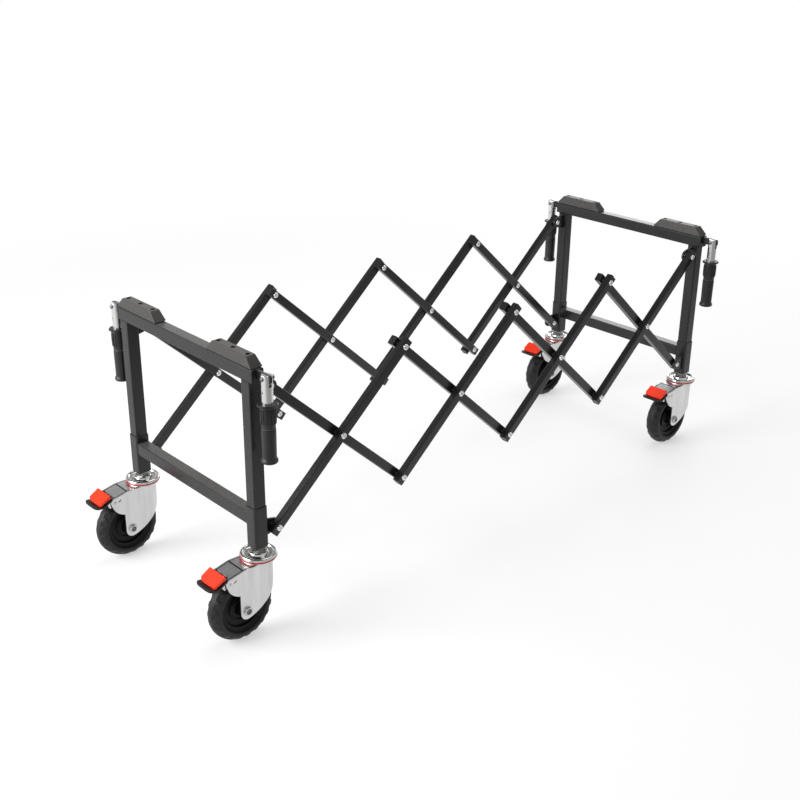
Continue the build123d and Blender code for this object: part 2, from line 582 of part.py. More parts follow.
def seal():
    """Dust seal under the swivel cup, with two lips."""
    inside, out = SEAL_BORE / 2, SEAL_D / 2
    points = [(inside, 0), (out - SEAL_LIP / 2, 0), (out - SEAL_LIP / 2, SEAL_H / 3),
              (out - SEAL_LIP, SEAL_H / 2), (out, SEAL_H / 2), (out, SEAL_H), (inside, SEAL_H)]
    return Pos(0, 0, seal_z) * revolve(Plane.XZ * shape(*points), Axis.Z)


def cup():
    """Swivel cup: raised rim, sunk ledge and boss under the nut."""
    hole, out = STEM_D / 2 + SEAT_CLEAR, CUP_D / 2
    points = [(hole, 0), (out, 0), (out, CUP_RIM), (out - CUP_BEVEL, CUP_RIM + CUP_BEVEL),
              (CUP_LEDGE_D / 2 + CUP_BEVEL, CUP_RIM + CUP_BEVEL), (CUP_LEDGE_D / 2, CUP_RIM),
              (CUP_BOSS_D / 2, CUP_RIM), (CUP_BOSS_D / 2 - CUP_BEVEL, CUP_H), (hole, CUP_H)]
    return Pos(0, 0, cup_z) * revolve(Plane.XZ * shape(*points), Axis.Z)


def stem():
    """Caster stem from its head under the fork's crown up into the sleeve."""
    low = crown_z - FORK_SHEET - PLAY
    body = post_of(STEM_D / 2, low, foot_z + SLEEVE_FLOOR + STEM_RISE)
    return body + post_of(STEM_HEAD_D / 2, low - STEM_HEAD_H, low)


def stem_nut():
    """Hexagon nut between the cup and the sleeve."""
    body = extrude(RegularPolygon(NUT_FLATS / 2, 6, major_radius=False), amount=NUT_H)
    return Pos(0, 0, nut_z) * body - post_of(STEM_D / 2 + SEAT_CLEAR, nut_z - OVERCUT, foot_z + OVERCUT)


# The two ends. The lattice meets the front end at its rear side and the rear end at its front side.
for end, x, toward, post_plate, sleeve_plate in (
        ("front", front_x, 1, outer_plate, inner_plate), ("rear", rear_x, -1, inner_plate, outer_plate)):
    at = Pos(x, 0, 0)
    save(f"{end}_posts", *pair(at * post(toward, post_plate)))
    save(f"{end}_sleeves", *pair(at * socket_sleeve(toward, sleeve_plate)))
    save(f"{end}_top_rail", at * rail())
    middle = Pos(0, foot_z + CROSSBAR_ABOVE_FOOT) * ring(TUBE, TUBE_WALL, TUBE_CORNER)
    save(f"{end}_lower_crossbar", at * slab(middle, sleeve / 2 - post_y, post_y - sleeve / 2))
    save(f"{end}_support_pads", *pair(Pos(x, pad_y, pad_z) * pad()))
    pin_at = Pos(x, handle_y, handle_pin_z)
    save(f"{end}_handle_hinges", *pair(pin_at * hinge()))
    screws = [Pos(x, pad_y + y, pad_z) * pad_screw() for y in pad_hole_y]
    fasteners = pair(*screws, pin_at * hinge_pin())
    if end == "front":
        fasteners += bolts_at([(pivot_x[0], upper_pivot_z)], inner_bar[0], outer_plate[1])
    else:
        low_bolts = bolts_at([(pivot_x[-1], lower_pivot_z)], inner_bar[0], outer_plate[1])
        save("rear_lower_pivot_bolts", *low_bolts)
    save(f"{end}_top_fasteners", *fasteners)
    caster_at = Pos(x, post_y, 0)
    save(f"{end}_caster_stems", *pair(caster_at * stem(), caster_at * stem_nut(), caster_at * cup()))
    save(f"{end}_seal_rings", *pair(caster_at * seal()))
    corner_pieces = {
        "handle_tube": [pin_at * handle_tube()],
        "handle_grip": [pin_at * handle_grip()],
        "caster_fork": [caster_at * piece for piece in (fork(), axle(), pedal_pin())],
        "caster_tyre": [caster_at * tyre()],
        "caster_hub": [caster_at * hub()],
        "brake_pedal": [caster_at * brake_pedal()],
        "release_pedal": [caster_at * release_pedal()],
    }
    for node, pieces in corner_pieces.items():
        save(f"{end}_right_{node}", *pieces)
        save(f"{end}_left_{node}", *[mirror(piece, about=Plane.XZ) for piece in pieces])
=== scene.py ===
import json
import math

import bpy
from mathutils import Matrix, Vector


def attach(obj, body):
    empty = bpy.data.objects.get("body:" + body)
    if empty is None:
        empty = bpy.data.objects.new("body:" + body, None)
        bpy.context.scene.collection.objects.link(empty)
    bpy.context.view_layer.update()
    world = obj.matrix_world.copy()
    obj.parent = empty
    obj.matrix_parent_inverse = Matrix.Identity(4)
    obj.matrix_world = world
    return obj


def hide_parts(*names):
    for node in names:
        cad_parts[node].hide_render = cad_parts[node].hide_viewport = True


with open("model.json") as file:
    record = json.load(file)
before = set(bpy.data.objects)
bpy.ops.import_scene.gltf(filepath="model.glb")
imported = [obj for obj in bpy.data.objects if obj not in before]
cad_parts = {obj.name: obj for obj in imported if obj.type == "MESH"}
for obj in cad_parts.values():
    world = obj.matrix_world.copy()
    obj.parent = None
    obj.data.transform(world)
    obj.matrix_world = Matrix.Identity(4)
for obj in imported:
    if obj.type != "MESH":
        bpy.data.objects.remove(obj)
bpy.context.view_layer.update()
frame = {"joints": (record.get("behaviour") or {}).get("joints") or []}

# Folding casket cart. Sizes are in millimetres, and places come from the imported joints.
MM = 0.001
ENDS = {"front": 1, "rear": -1}         # which way the lattice lies from each end, along X
SIDES = {"left": -1, "right": 1}
CORNERS = [(end, side) for end in ENDS for side in SIDES]
CELLS = 4

joint_at = {joint["name"]: Vector(joint["pos_m"]) / MM for joint in frame["joints"]}
swivel = {corner: joint_at["%s_%s_swivel" % corner] for corner in CORNERS}
handle_pin = {corner: joint_at["%s_%s_handle_swing" % corner] for corner in CORNERS}
axle = joint_at["front_left_roll"] - swivel["front", "left"]
brake_pin = joint_at["front_left_brake"] - swivel["front", "left"]
POST_Y = swivel["front", "right"].y
END_X = {end: swivel[end, "left"].x for end in ENDS}
LOW_Z, HIGH_Z = joint_at["fold"].z, joint_at["front_top_pivot"].z

# Lattice
BAR_HEIGHT, BAR_THICK, BAR_CORNER, BAR_WALL = 18.0, 15.0, 2.0, 1.8
BAR_OVERHANG, BAR_GAP = 15.0, 2.0
OUTER_BAR = (POST_Y + 3.5, POST_Y + 3.5 + BAR_THICK)
INNER_BAR = (OUTER_BAR[0] - BAR_GAP - BAR_THICK, OUTER_BAR[0] - BAR_GAP)
HEAD_GAP = 0.3                          # between a bolt's inner head and what it holds

# End frames
TUBE, TUBE_WALL, TUBE_CORNER = 25.0, 2.0, 2.5
SLEEVE, SLEEVE_WALL, SLEEVE_CORNER, SLEEVE_FLOOR = 28.6, 1.6, 4.3, 4.0
GUIDE, GUIDE_WALL, GUIDE_CORNER, GUIDE_DEPTH = 20.6, 2.0, 1.0, 200.0
BRACKET_ROOT, BRACKET_NOSE, PLATE = 36.0, 12.5, 5.0
PIVOT_OUT = 35.0                        # from the middle of a post to its pivots
OVERLAP = 1.0                           # how far a joined plate reaches into its neighbour
FOOT_Z = LOW_Z - 30
SLEEVE_TOP = FOOT_Z + 80
GUIDE_TOP = FOOT_Z + 270
CROSSBAR_Z = FOOT_Z + 54
RAIL_Z = HIGH_Z + 19
PAD_Z = RAIL_Z + TUBE
RAIL_END = POST_Y + TUBE / 2 + 4

# Support pads
PAD_LENGTH, PAD_WIDTH, PAD_HEIGHT = 134.0, 25.0, 20.0
PAD_TOP_LENGTH, PAD_TOP_WIDTH = 100.0, 20.0
PAD_FOOT, PAD_SEAT = 2.2, 6.0           # height of the narrower foot and of the screws' seats
PAD_HOLES = (-43, 0, 43)
PAD_Y = RAIL_END + 2.5 - PAD_LENGTH / 2

# Handles, measured from the hinge pin
PIN_OUT = handle_pin["front", "right"].y - RAIL_END
PIN_UP = handle_pin["front", "right"].z - RAIL_Z - TUBE / 2
CAP, TONGUE = 4.0, 5.0
HANDLE_R, GRIP_BORE, GRIP_TOP = 10.0, 10.05, -44.5

# Casters, measured from the swivel axis and the floor
AXLE_X, AXLE_Z = axle.x, joint_at["front_left_roll"].z
PIN_X, PIN_Z = brake_pin.x, joint_at["front_left_brake"].z
WHEEL_R = AXLE_Z
CROWN_Z = PIN_Z + 16
CUP_Z, SEAL_Z = CROWN_Z + 5.3, CROWN_Z + 2.3
STEM_BORE = 6.5
FORK_HALF, FORK_FRONT, SHEET = 25.0, -90.0, 3.0
FORK_INSIDE = FORK_HALF - SHEET
BEND_X, NOSE_X, NOSE_DROP = -50.0, -76.0, 6.0
SLOT_END, LINE_END = -47.0, -14.0
MARK_X, MARK_Z, MARK_LEAN = -68.0, CROWN_Z - 14, 35
AXLE_R, BRAKE_PIN_R, ROD_HALF = 5.0, 2.5, 24.0
LEVER_INNER, LEVER_OUTER = 8.5, 18.0

# Modelling limits
ALIGNED = 0.99                          # cosine past which a face or an edge counts as pointing along an axis
TINY = 0.002                            # points closer than this are one
SMOOTH = 40                             # degrees below which an edge is shaded smooth


# Modelling helpers
def point(x, y, z):
    """A point given in millimetres."""
    return Vector((x, y, z)) * MM


def take(*pieces):
    """Select these pieces only; the first one is the active one."""
    bpy.ops.object.select_all(action="DESELECT")
    for piece in pieces:
        piece.select_set(True)
    bpy.context.view_layer.objects.active = pieces[0]


def edit(piece, kind="VERT", chosen=None):
    """Go into edit mode with the chosen faces or edges selected, or with all points."""
    take(piece)
    bpy.ops.object.mode_set(mode="EDIT")
    bpy.ops.mesh.select_mode(type=kind)
    bpy.ops.mesh.select_all(action="DESELECT" if chosen else "SELECT")
    if chosen:
        bpy.ops.object.mode_set(mode="OBJECT")
        mesh = piece.data
        for part in {"FACE": mesh.polygons, "EDGE": mesh.edges}[kind]:
            part.select = chosen(mesh, part)
        bpy.ops.object.mode_set(mode="EDIT")


def leave(piece):
    """Back to object mode, with the normals outward."""
    bpy.ops.mesh.select_all(action="SELECT")
    bpy.ops.mesh.normals_make_consistent(inside=False)
    bpy.ops.object.mode_set(mode="OBJECT")
    return piece


def facing(up):
    """Choice of the faces that look straight up, for 1, or straight down, for -1."""
    return lambda mesh, face: face.normal.z * up > ALIGNED


def along(axis):
    """Choice of the edges that run along an axis."""
    def chosen(mesh, edge):
        first, last = (mesh.vertices[i].co for i in edge.vertices)
        return abs((last - first).normalized()["XYZ".index(axis)]) > ALIGNED
    return chosen


def new_piece(name):
    """The piece just added, with its name and its place taken into its mesh."""
    bpy.ops.object.transform_apply(location=True, rotation=True, scale=True)
    piece = bpy.context.active_object
    piece.name = piece.data.name = name
    return piece


def block(name, low, high):
    """A box between two corners."""
    low, high = Vector(low) * MM, Vector(high) * MM
    bpy.ops.object.select_all(action="DESELECT")
    bpy.ops.mesh.primitive_cube_add(size=1, location=(low + high) / 2, scale=high - low)
    return new_piece(name)


def draw(name, points):
    """A line through some points, drawn by extruding one vertex from point to point."""
    bpy.ops.object.select_all(action="DESELECT")
    bpy.ops.mesh.primitive_plane_add(size=MM)
    bpy.ops.object.mode_set(mode="EDIT")
    bpy.ops.mesh.select_mode(type="VERT")
    bpy.ops.mesh.select_all(action="SELECT")
    bpy.ops.mesh.merge(type="CENTER")
    bpy.ops.transform.translate(value=points[0])
    for here, there in zip(points, points[1:]):
        bpy.ops.mesh.extrude_vertices_move(TRANSFORM_OT_translate={"value": there - here})
    bpy.ops.object.mode_set(mode="OBJECT")
    return new_piece(name)


def slab(name, outline, axis, low, high):
    """A flat outline made solid between two planes across an axis."""
    def spread(a, b):
        return {"X": point(low, a, b), "Y": point(a, low, b), "Z": point(a, b, low)}[axis]
    piece = draw(name, [spread(a, b) for a, b in outline])
    edit(piece)
    bpy.ops.mesh.edge_face_add()
    step = Vector([high - low if axis == letter else 0 for letter in "XYZ"]) * MM
    bpy.ops.mesh.extrude_region_move(TRANSFORM_OT_translate={"value": step})
    return leave(piece)


def turned(name, profile, steps):
    """A turned piece: a profile of radius against height spun about Z."""
    piece = draw(name, [point(radius, 0, height) for radius, height in profile])
    edit(piece)
    bpy.ops.mesh.spin(steps=steps, angle=math.tau, center=(0, 0, 0), axis=(0, 0, 1))
    bpy.ops.mesh.select_all(action="SELECT")
    bpy.ops.mesh.remove_doubles(threshold=TINY * MM)
    return leave(piece)


def rod(name, radius, low, high, steps):
    """A plain round rod about Z."""
    return turned(name, [(0, low), (radius, low), (radius, high), (0, high)], steps)


def arc(centre, radius, start, end, steps):
    """Points on an arc, in degrees."""
    turns = [math.radians(start + (end - start) * i / steps) for i in range(steps + 1)]
    return [(centre[0] + radius * math.cos(t), centre[1] + radius * math.sin(t)) for t in turns]


def arc_through(first, middle, last, steps):
    """Points on the arc through three points."""
    (ax, ay), (bx, by), (cx, cy) = first, middle, last
    d = 2 * (ax * (by - cy) + bx * (cy - ay) + cx * (ay - by))
    a, b, c = ax * ax + ay * ay, bx * bx + by * by, cx * cx + cy * cy
    centre = ((a * (by - cy) + b * (cy - ay) + c * (ay - by)) / d,
              (a * (cx - bx) + b * (ax - cx) + c * (bx - ax)) / d)
    bearing = [math.atan2(y - centre[1], x - centre[0]) for x, y in (first, middle, last)]
    sweep = (bearing[2] - bearing[0]) % math.tau
    if (bearing[1] - bearing[0]) % math.tau > sweep:
        sweep -= math.tau
    radius = math.dist(first, centre)
    return arc(centre, radius, math.degrees(bearing[0]), math.degrees(bearing[0] + sweep), steps)


def hexagon(radius):
    """Outline of a hexagon about the origin, by the radius of its corners."""
    return arc((0, 0), radius, 0, 300, 5)


def rounded_square(width, corner):
    """Outline of a square with round corners about the origin."""
    a = width / 2 - corner
    outline = []
    for i, centre in enumerate(((a, a), (-a, a), (-a, -a), (a, -a))):
        outline += arc(centre, corner, 90 * i, 90 * i + 90, 4)
    return outline


def combine(piece, how, other):
    """Cut another piece out of a piece, unite the two or keep what they share."""
    step = piece.modifiers.new("combine", "BOOLEAN")
    step.operation, step.solver, step.object = how, "EXACT", other
    take(piece)
    bpy.ops.object.modifier_apply(modifier=step.name)
    bpy.data.meshes.remove(other.data)
    return piece


def soften(piece, width, segments=2, degrees=35):
    """Round the edges that are sharper than an angle."""
    step = piece.modifiers.new("soften", "BEVEL")
    step.width, step.segments = width * MM, segments
    step.limit_method, step.angle_limit = "ANGLE", math.radians(degrees)
    take(piece)
    bpy.ops.object.modifier_apply(modifier=step.name)
    return piece


def bevel(piece, chosen, width, segments):
    """Round the chosen edges."""
    edit(piece, "EDGE", chosen)
    bpy.ops.mesh.bevel(offset=width * MM, segments=segments, affect="EDGES")
    return leave(piece)


def hollow(piece, chosen, wall, depth):
    """Sink a bore with a slight draft into a chosen face, leaving a wall round it."""
    draft = 0.02
    edit(piece, "FACE", chosen)
    bpy.ops.mesh.inset(thickness=wall * MM)
    bpy.ops.mesh.inset(thickness=draft * MM, depth=-depth * MM)
    return leave(piece)


def join(name, *pieces):
    """Several pieces as one."""
    take(*pieces)
    bpy.ops.object.join()
    pieces[0].name = pieces[0].data.name = name
    return pieces[0]


def copy_of(piece, name, *moves):
    """A copy with a mesh of its own, moved by some matrices, the last one first."""
    mesh = piece.data.copy()
    move = Matrix.Identity(4)
    for step in moves:
        move = move @ step
    mesh.transform(move)
    if move.determinant() < 0:
        mesh.flip_normals()
    mesh.name = name
    copy = bpy.data.objects.new(name, mesh)
    bpy.context.scene.collection.objects.link(copy)
    return copy


def moved(piece, move):
    """The piece itself, moved by a matrix."""
    piece.data.transform(move)
    return piece


def shift(x, y, z):
    return Matrix.Translation(point(x, y, z))


def turn(degrees, axis):
    return Matrix.Rotation(math.radians(degrees), 4, axis)


def mirrored(sign):
    """Left-right mirror image for sign -1."""
    return Matrix.Diagonal((1, sign, 1, 1))


def drop(*pieces):
    """Take away patterns that were only copied."""
    for piece in pieces:
        bpy.data.meshes.remove(piece.data)


def on_left(side, *nodes):
    """The nodes, for a left-hand piece: where a node holds both sides, the left one stands for it."""
    return nodes if side == "left" else ()


def show(piece, body, slot, finish, *nodes):
    """Clean, shade and colour a finished piece, and let it ride on its body in place of some nodes."""
    edit(piece)
    bpy.ops.mesh.dissolve_degenerate(threshold=TINY * MM)
    bpy.ops.object.mode_set(mode="OBJECT")
    bpy.ops.object.shade_smooth_by_angle(angle=math.radians(SMOOTH))
    step = piece.modifiers.new("even normals", "WEIGHTED_NORMAL")
    step.keep_sharp = True
    bpy.ops.object.modifier_apply(modifier=step.name)
    piece.data.materials.clear()
    piece.data.materials.append(finish)
    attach(piece, body)
    if nodes:
        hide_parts(*nodes)


# Materials
COLOUR_A, COLOUR_B, COLOUR_OUT = 6, 7, 2        # sockets of a Mix node that mixes colours
VALUE_A, VALUE_B = 2, 3                         # and of one that mixes values


def add(tree, kind, values=None, **settings):
    """A shader node with some settings and input values."""
    node = tree.nodes.new(kind)
    for name, value in settings.items():
        setattr(node, name, value)
    for name, value in (values or {}).items():
        node.inputs[name].default_value = value
    return node


def wire(tree, *links):
    """Join sockets, each link a node and its output, and the next node and its input."""
    for node, output, following, entry in links:
        tree.links.new(node.outputs[output], following.inputs[entry])


def grain_group():
    """Clouds, speckles with the bumps they make, and a pale mask on upward faces that is partly dust and
    partly painted top light, in object coordinates.
    """
    tree = bpy.data.node_groups.new("surface grain", "ShaderNodeTree")
    for name, value in (("Cloud scale", 6.0), ("Speckle scale", 600.0), ("Bump", 0.1), ("Stretch", 1.0)):
        tree.interface.new_socket(name, in_out="INPUT", socket_type="NodeSocketFloat").default_value = value
    for name, kind in (("Cloud", "Float"), ("Speckle", "Float"), ("Dust and top light", "Float"), ("Normal", "Vector")):
        tree.interface.new_socket(name, in_out="OUTPUT", socket_type="NodeSocket" + kind)
    given, made = tree.nodes.new("NodeGroupInput"), tree.nodes.new("NodeGroupOutput")
    place = add(tree, "ShaderNodeTexCoord")
    stretch = add(tree, "ShaderNodeCombineXYZ", {"X": 1, "Y": 1})
    longer = add(tree, "ShaderNodeVectorMath", operation="MULTIPLY")
    cloud = add(tree, "ShaderNodeTexNoise", {"Detail": 4, "Roughness": 0.6})
    speckle = add(tree, "ShaderNodeTexNoise", {"Detail": 2, "Roughness": 0.5})
    bump = add(tree, "ShaderNodeBump", {"Distance": 0.4 * MM})
    faces = add(tree, "ShaderNodeSeparateXYZ")
    # Upward faces get a patchy pale mask: partly dust, partly painted light falling on the tops
    upward = add(tree, "ShaderNodeMapRange", {"From Min": 0.8, "From Max": 0.98})
    patchy = add(tree, "ShaderNodeMapRange", {"From Min": 0.3, "From Max": 0.6, "To Min": 0.45})
    top_dust_and_light = add(tree, "ShaderNodeMath", operation="MULTIPLY")
    wire(tree,
         (given, "Stretch", stretch, "Z"), (place, "Object", longer, 0), (stretch, 0, longer, 1),
         (longer, 0, cloud, "Vector"), (longer, 0, speckle, "Vector"),
         (given, "Cloud scale", cloud, "Scale"), (given, "Speckle scale", speckle, "Scale"),
         (given, "Bump", bump, "Strength"), (speckle, "Fac", bump, "Height"),
         (cloud, "Fac", made, "Cloud"), (speckle, "Fac", made, "Speckle"), (bump, "Normal", made, "Normal"),
         (place, "Normal", faces, 0), (faces, "Z", upward, "Value"), (speckle, "Fac", patchy, "Value"),
         (upward, "Result", top_dust_and_light, 0), (patchy, "Result", top_dust_and_light, 1), (top_dust_and_light, 0, made, "Dust and top light"))
    return tree


GRAIN = grain_group()


def finish(name, tones, rough, cloud, speckle, bump, stretch=1.0, dust_and_top_light=None, **principled):
    """A finish whose colour drifts between two tones in clouds and whose roughness follows fine speckles."""
    material = bpy.data.materials.new(name)
    material.use_nodes = True
    tree = material.node_tree
    shader = tree.nodes["Principled BSDF"]
    for socket, value in principled.items():
        shader.inputs[socket.replace("_", " ")].default_value = value
    values = {"Cloud scale": cloud, "Speckle scale": speckle, "Bump": bump, "Stretch": stretch}
    grain = add(tree, "ShaderNodeGroup", values, node_tree=GRAIN)
    values = {COLOUR_A: (*tones[0], 1), COLOUR_B: (*tones[1], 1)}
    colour = add(tree, "ShaderNodeMix", values, data_type="RGBA")
    spread = add(tree, "ShaderNodeMapRange", {"From Min": 0.3, "From Max": 0.7})
    dull = add(tree, "ShaderNodeMapRange",
               {"From Min": 0.25, "From Max": 0.75, "To Min": rough[0], "To Max": rough[1]})
    wire(tree,
         (grain, "Cloud", spread, "Value"), (spread, "Result", colour, 0),
         (colour, COLOUR_OUT, shader, "Base Color"), (grain, "Speckle", dull, "Value"),
         (dull, "Result", shader, "Roughness"), (grain, "Normal", shader, "Normal"))
    # Upward faces mix toward a paler tone: partly dust, partly painted top light
    if dust_and_top_light:
        dusty_and_lit = add(tree, "ShaderNodeMix", {COLOUR_B: (*dust_and_top_light, 1)}, data_type="RGBA")
        wire(tree, (grain, "Dust and top light", dusty_and_lit, 0), (colour, COLOUR_OUT, dusty_and_lit, COLOUR_A),
             (dusty_and_lit, COLOUR_OUT, shader, "Base Color"))
    return material


def grey(level):
    return (level, level, level)


# The dust tones of the powder coat and the pads make their upward faces paler: partly dust, partly painted
# top light
POWDER = finish("black powder coat", ((0.010, 0.0105, 0.011), (0.014, 0.0145, 0.015)), (0.22, 0.32),
                cloud=8, speckle=900, bump=0.06, dust_and_top_light=(0.085, 0.08, 0.075), Specular_IOR_Level=0.37)
BAR_POWDER = finish("black powder coat on bars", ((0.007, 0.007, 0.0075), (0.010, 0.010, 0.0105)),
                    (0.20, 0.30), cloud=8, speckle=900, bump=0.06, Specular_IOR_Level=0.46)
ZINC = finish("brushed zinc", (grey(0.56), grey(0.68)), (0.32, 0.38),
              cloud=60, speckle=250, bump=0.004, stretch=0.15, Metallic=1.0)
CUP_ZINC = finish("bright zinc", ((0.50, 0.50, 0.49), (0.58, 0.58, 0.57)), (0.12, 0.18),
                  cloud=20, speckle=80, bump=0.005, Metallic=1.0)
NUT_STEEL = finish("dull nut steel", ((0.24, 0.23, 0.22), (0.36, 0.35, 0.33)), (0.24, 0.38),
                   cloud=90, speckle=700, bump=0.08, Metallic=1.0)
TUBE_ZINC = finish("bright zinc tube", (grey(0.64), (0.76, 0.76, 0.75)), (0.14, 0.30),
                   cloud=30, speckle=900, bump=0.06, stretch=0.06, Metallic=1.0)
AXLE_ZINC = finish("axle zinc", (grey(0.44), (0.58, 0.57, 0.56)), (0.20, 0.34),
                   cloud=120, speckle=700, bump=0.05, Metallic=1.0)
BOLT_ZINC = finish("bolt zinc", (grey(0.70), (0.84, 0.83, 0.82)), (0.18, 0.32),
                   cloud=120, speckle=700, bump=0.05, Metallic=1.0)
PAD_RUBBER = finish("pad rubber", ((0.016, 0.015, 0.014), (0.054, 0.050, 0.046)), (0.34, 0.52),
                    cloud=420, speckle=1400, bump=0.25, dust_and_top_light=(0.085, 0.08, 0.072), Specular_IOR_Level=0.40)
GRIP_RUBBER = finish("grip rubber", (grey(0.006), grey(0.011)), (0.32, 0.46),
                     cloud=25, speckle=1600, bump=0.30, Specular_IOR_Level=0.45)
TYRE_RUBBER = finish("tyre rubber", (grey(0.009), grey(0.015)), (0.44, 0.60),
                     cloud=35, speckle=1200, bump=0.25, Specular_IOR_Level=0.28)
HUB_PLASTIC = finish("hub plastic", (grey(0.004), grey(0.008)), (0.34, 0.46),
                     cloud=20, speckle=1200, bump=0.15, Specular_IOR_Level=0.14)
SEAL_RED = finish("red seal", ((0.50, 0.014, 0.013), (0.62, 0.022, 0.018)), (0.30, 0.45),
                  cloud=60, speckle=1200, bump=0.1)
PEDAL_BLACK = finish("black pedal plastic", (grey(0.007), grey(0.013)), (0.45, 0.60),
                     cloud=50, speckle=1500, bump=0.25, Specular_IOR_Level=0.30)
# Dark bolt steel; on the axle ends it also paints the shade in the nuts' recesses
BOLT_STEEL_AND_RECESS_SHADE = finish("bolt steel and painted recess shade", (grey(0.10), grey(0.18)), (0.28, 0.42),
                    cloud=200, speckle=900, bump=0.1, Metallic=0.9)
# Dark sheets that paint the shade down in the fork's gaps
PAINTED_GAP_SHADE = finish("shade in the gaps", (grey(0.004), grey(0.010)), (0.7, 0.9),
                  cloud=100, speckle=900, bump=0.05, Specular_IOR_Level=0.1)
RING_GREY = finish("satin grey ring", (grey(0.10), grey(0.15)), (0.35, 0.5),
                   cloud=60, speckle=900, bump=0.05, Metallic=0.7)
PEDAL_ORANGE = finish("orange pedal plastic", ((0.82, 0.028, 0.002), (0.90, 0.037, 0.005)), (0.34, 0.48),
                      cloud=50, speckle=1500, bump=0.15, Specular_IOR_Level=0.35)


# Scissor lattice
def lattice_bar(half):
    """One bar about its middle: tube with round corners and end plugs set a little back."""
    reach, set_back = half + BAR_OVERHANG, 0.8
    bar = block("bar", (-reach, -BAR_THICK / 2, -BAR_HEIGHT / 2), (reach, BAR_THICK / 2, BAR_HEIGHT / 2))
    bevel(bar, along("X"), BAR_CORNER, 4)
    edit(bar, "FACE", lambda mesh, face: abs(face.normal.x) > ALIGNED)
    bpy.ops.mesh.inset(thickness=BAR_WALL * MM, depth=0, use_individual=True)
    bpy.ops.mesh.inset(thickness=set_back / 2 * MM, depth=-set_back * MM, use_individual=True)
    leave(bar)
    return soften(bar, 0.3)


def bolt_head():
    """Domed bolt head with a hexagon socket, standing on z = 0."""
    foot, rim = [(0, -1), (4, -1), (6, -1)], [(6, 0.7), (5.7, 1.6)]
    dome = [(4.9, 2.6), (3.9, 3.25), (3.2, 3.5), (0, 3.5)]
    head = turned("head", foot + rim + dome, 40)
    socket = slab("socket", hexagon(2.6), "Z", 1.3, 4)
    return soften(combine(head, "DIFFERENCE", socket), 0.15, 1, 50)


def pivot_washer():
    """Washer with eased edges, standing on z = 0."""
    bore, radius, thick, ease, edge = 4.05, 8, 1.7, 0.4, 0.3
    rim = [(radius - ease, 0), (radius, edge), (radius, thick - edge), (radius - ease, thick)]
    return turned("washer", [(bore, 0)] + rim + [(bore, thick), (bore, 0)], 40)


def bolt_pair(name, body, spot, inner, outer, *nodes):
    """Bolts with washers through a pivot at a spot in X and Z, one on each side of the cart."""
    x, z = spot
    for side, sign in SIDES.items():
        place = (mirrored(sign), shift(x, 0, z))
        bolt = join("%s_%s" % (name, side),
                    copy_of(head_pattern, "outer head", *place, shift(0, outer, 0), turn(-90, "X")),
                    copy_of(head_pattern, "inner head", *place, shift(0, inner - HEAD_GAP, 0), turn(90, "X")),
                    copy_of(washer_pattern, "washer", *place, shift(0, OUTER_BAR[0], 0), turn(90, "X")))
        show(bolt, body, "bolt_zinc", BOLT_ZINC, *on_left(side, *nodes))


first, middle = joint_at["fold"], joint_at["crossing_1"]
lean = math.degrees(math.atan2(middle.z - first.z, middle.x - first.x))
pitch = 2 * (middle.x - first.x)
pivot_x = [first.x + pitch * i for i in range(CELLS + 1)]
bar_pattern = lattice_bar(math.hypot(middle.x - first.x, middle.z - first.z))
head_pattern, washer_pattern = bolt_head(), pivot_washer()

for i in range(CELLS):
    crossing = joint_at["crossing_%d" % (i + 1)]
    for letter, angle, (low, high) in (("a", -lean, OUTER_BAR), ("b", lean, INNER_BAR)):
        label = "%s%d" % (letter, i + 1)
        node = "scissor_bars_" + label
        for side, sign in SIDES.items():
            place = shift(crossing.x, sign * (low + high) / 2, crossing.z)
            bar = copy_of(bar_pattern, "%s_%s" % (node, side), place, turn(angle, "Y"))
            show(bar, "arm_" + label, "bar_black", BAR_POWDER, *on_left(side, node))
    body, node = "arm_a%d" % (i + 1), "pivot_bolts_a%d" % (i + 1)
    low, high = (pivot_x[i], LOW_Z), (pivot_x[i + 1], HIGH_Z)
    at_bars = [(crossing.x, crossing.z)] + ([low] if i > 0 else []) + ([high] if i < CELLS - 1 else [])
    for number, spot in enumerate(at_bars, 1):
        nodes = [node] if number == 1 else []
        bolt_pair("%s_%d" % (node, number), body, spot, INNER_BAR[0], OUTER_BAR[1], *nodes)
    if i in (0, CELLS - 1):
        bolt_pair(node + "_end", body, low if i == 0 else high, INNER_BAR[1] - PLATE, OUTER_BAR[1])


# End frames
def square_tube(name, low, high, axis, corner=TUBE_CORNER):
    """A square tube between two corners, with round edges along its axis."""
    return bevel(block(name, low, high), along(axis), corner, 4)


def upright(name, x, size, corner, low, high):
    """A square tube that stands at the right-hand post's place."""
    half = size / 2
    return square_tube(name, (x - half, POST_Y - half, low), (x + half, POST_Y + half, high), "Z", corner)


def cross_tube(name, x, reach, low):
    """A square tube across the cart, by the height of its underside."""
    return square_tube(name, (x - TUBE / 2, -reach, low), (x + TUBE / 2, reach, low + TUBE), "Y")


def bracket(width, low, high, toward):
    """Pivot bracket about its pivot: narrows from its weld on a tube of some width to a round nose."""
    reach, root = PIVOT_OUT - width / 2 + OVERLAP, BRACKET_ROOT / 2
    bearing = math.degrees(math.atan2(root, -reach) - math.acos(BRACKET_NOSE / math.hypot(reach, root)))
    outline = [(-reach, -root)] + arc((0, 0), BRACKET_NOSE, -bearing, bearing, 16) + [(-reach, root)]
    plate = slab("bracket", [(toward * x, z) for x, z in outline], "Y", low, high)
    return soften(plate, 0.8, 2, 50)


def post(x, toward, plate):
    """Right-hand post, open below, with its upper pivot bracket."""
    tube = upright("post", x, TUBE, TUBE_CORNER, FOOT_Z + 6, RAIL_Z + 0.3)
    hollow(tube, facing(-1), TUBE_WALL, RAIL_Z - FOOT_Z - 20)
    lug = moved(bracket(TUBE, *plate, toward), shift(x + toward * PIVOT_OUT, 0, HIGH_Z))
    return join("post", tube, lug)


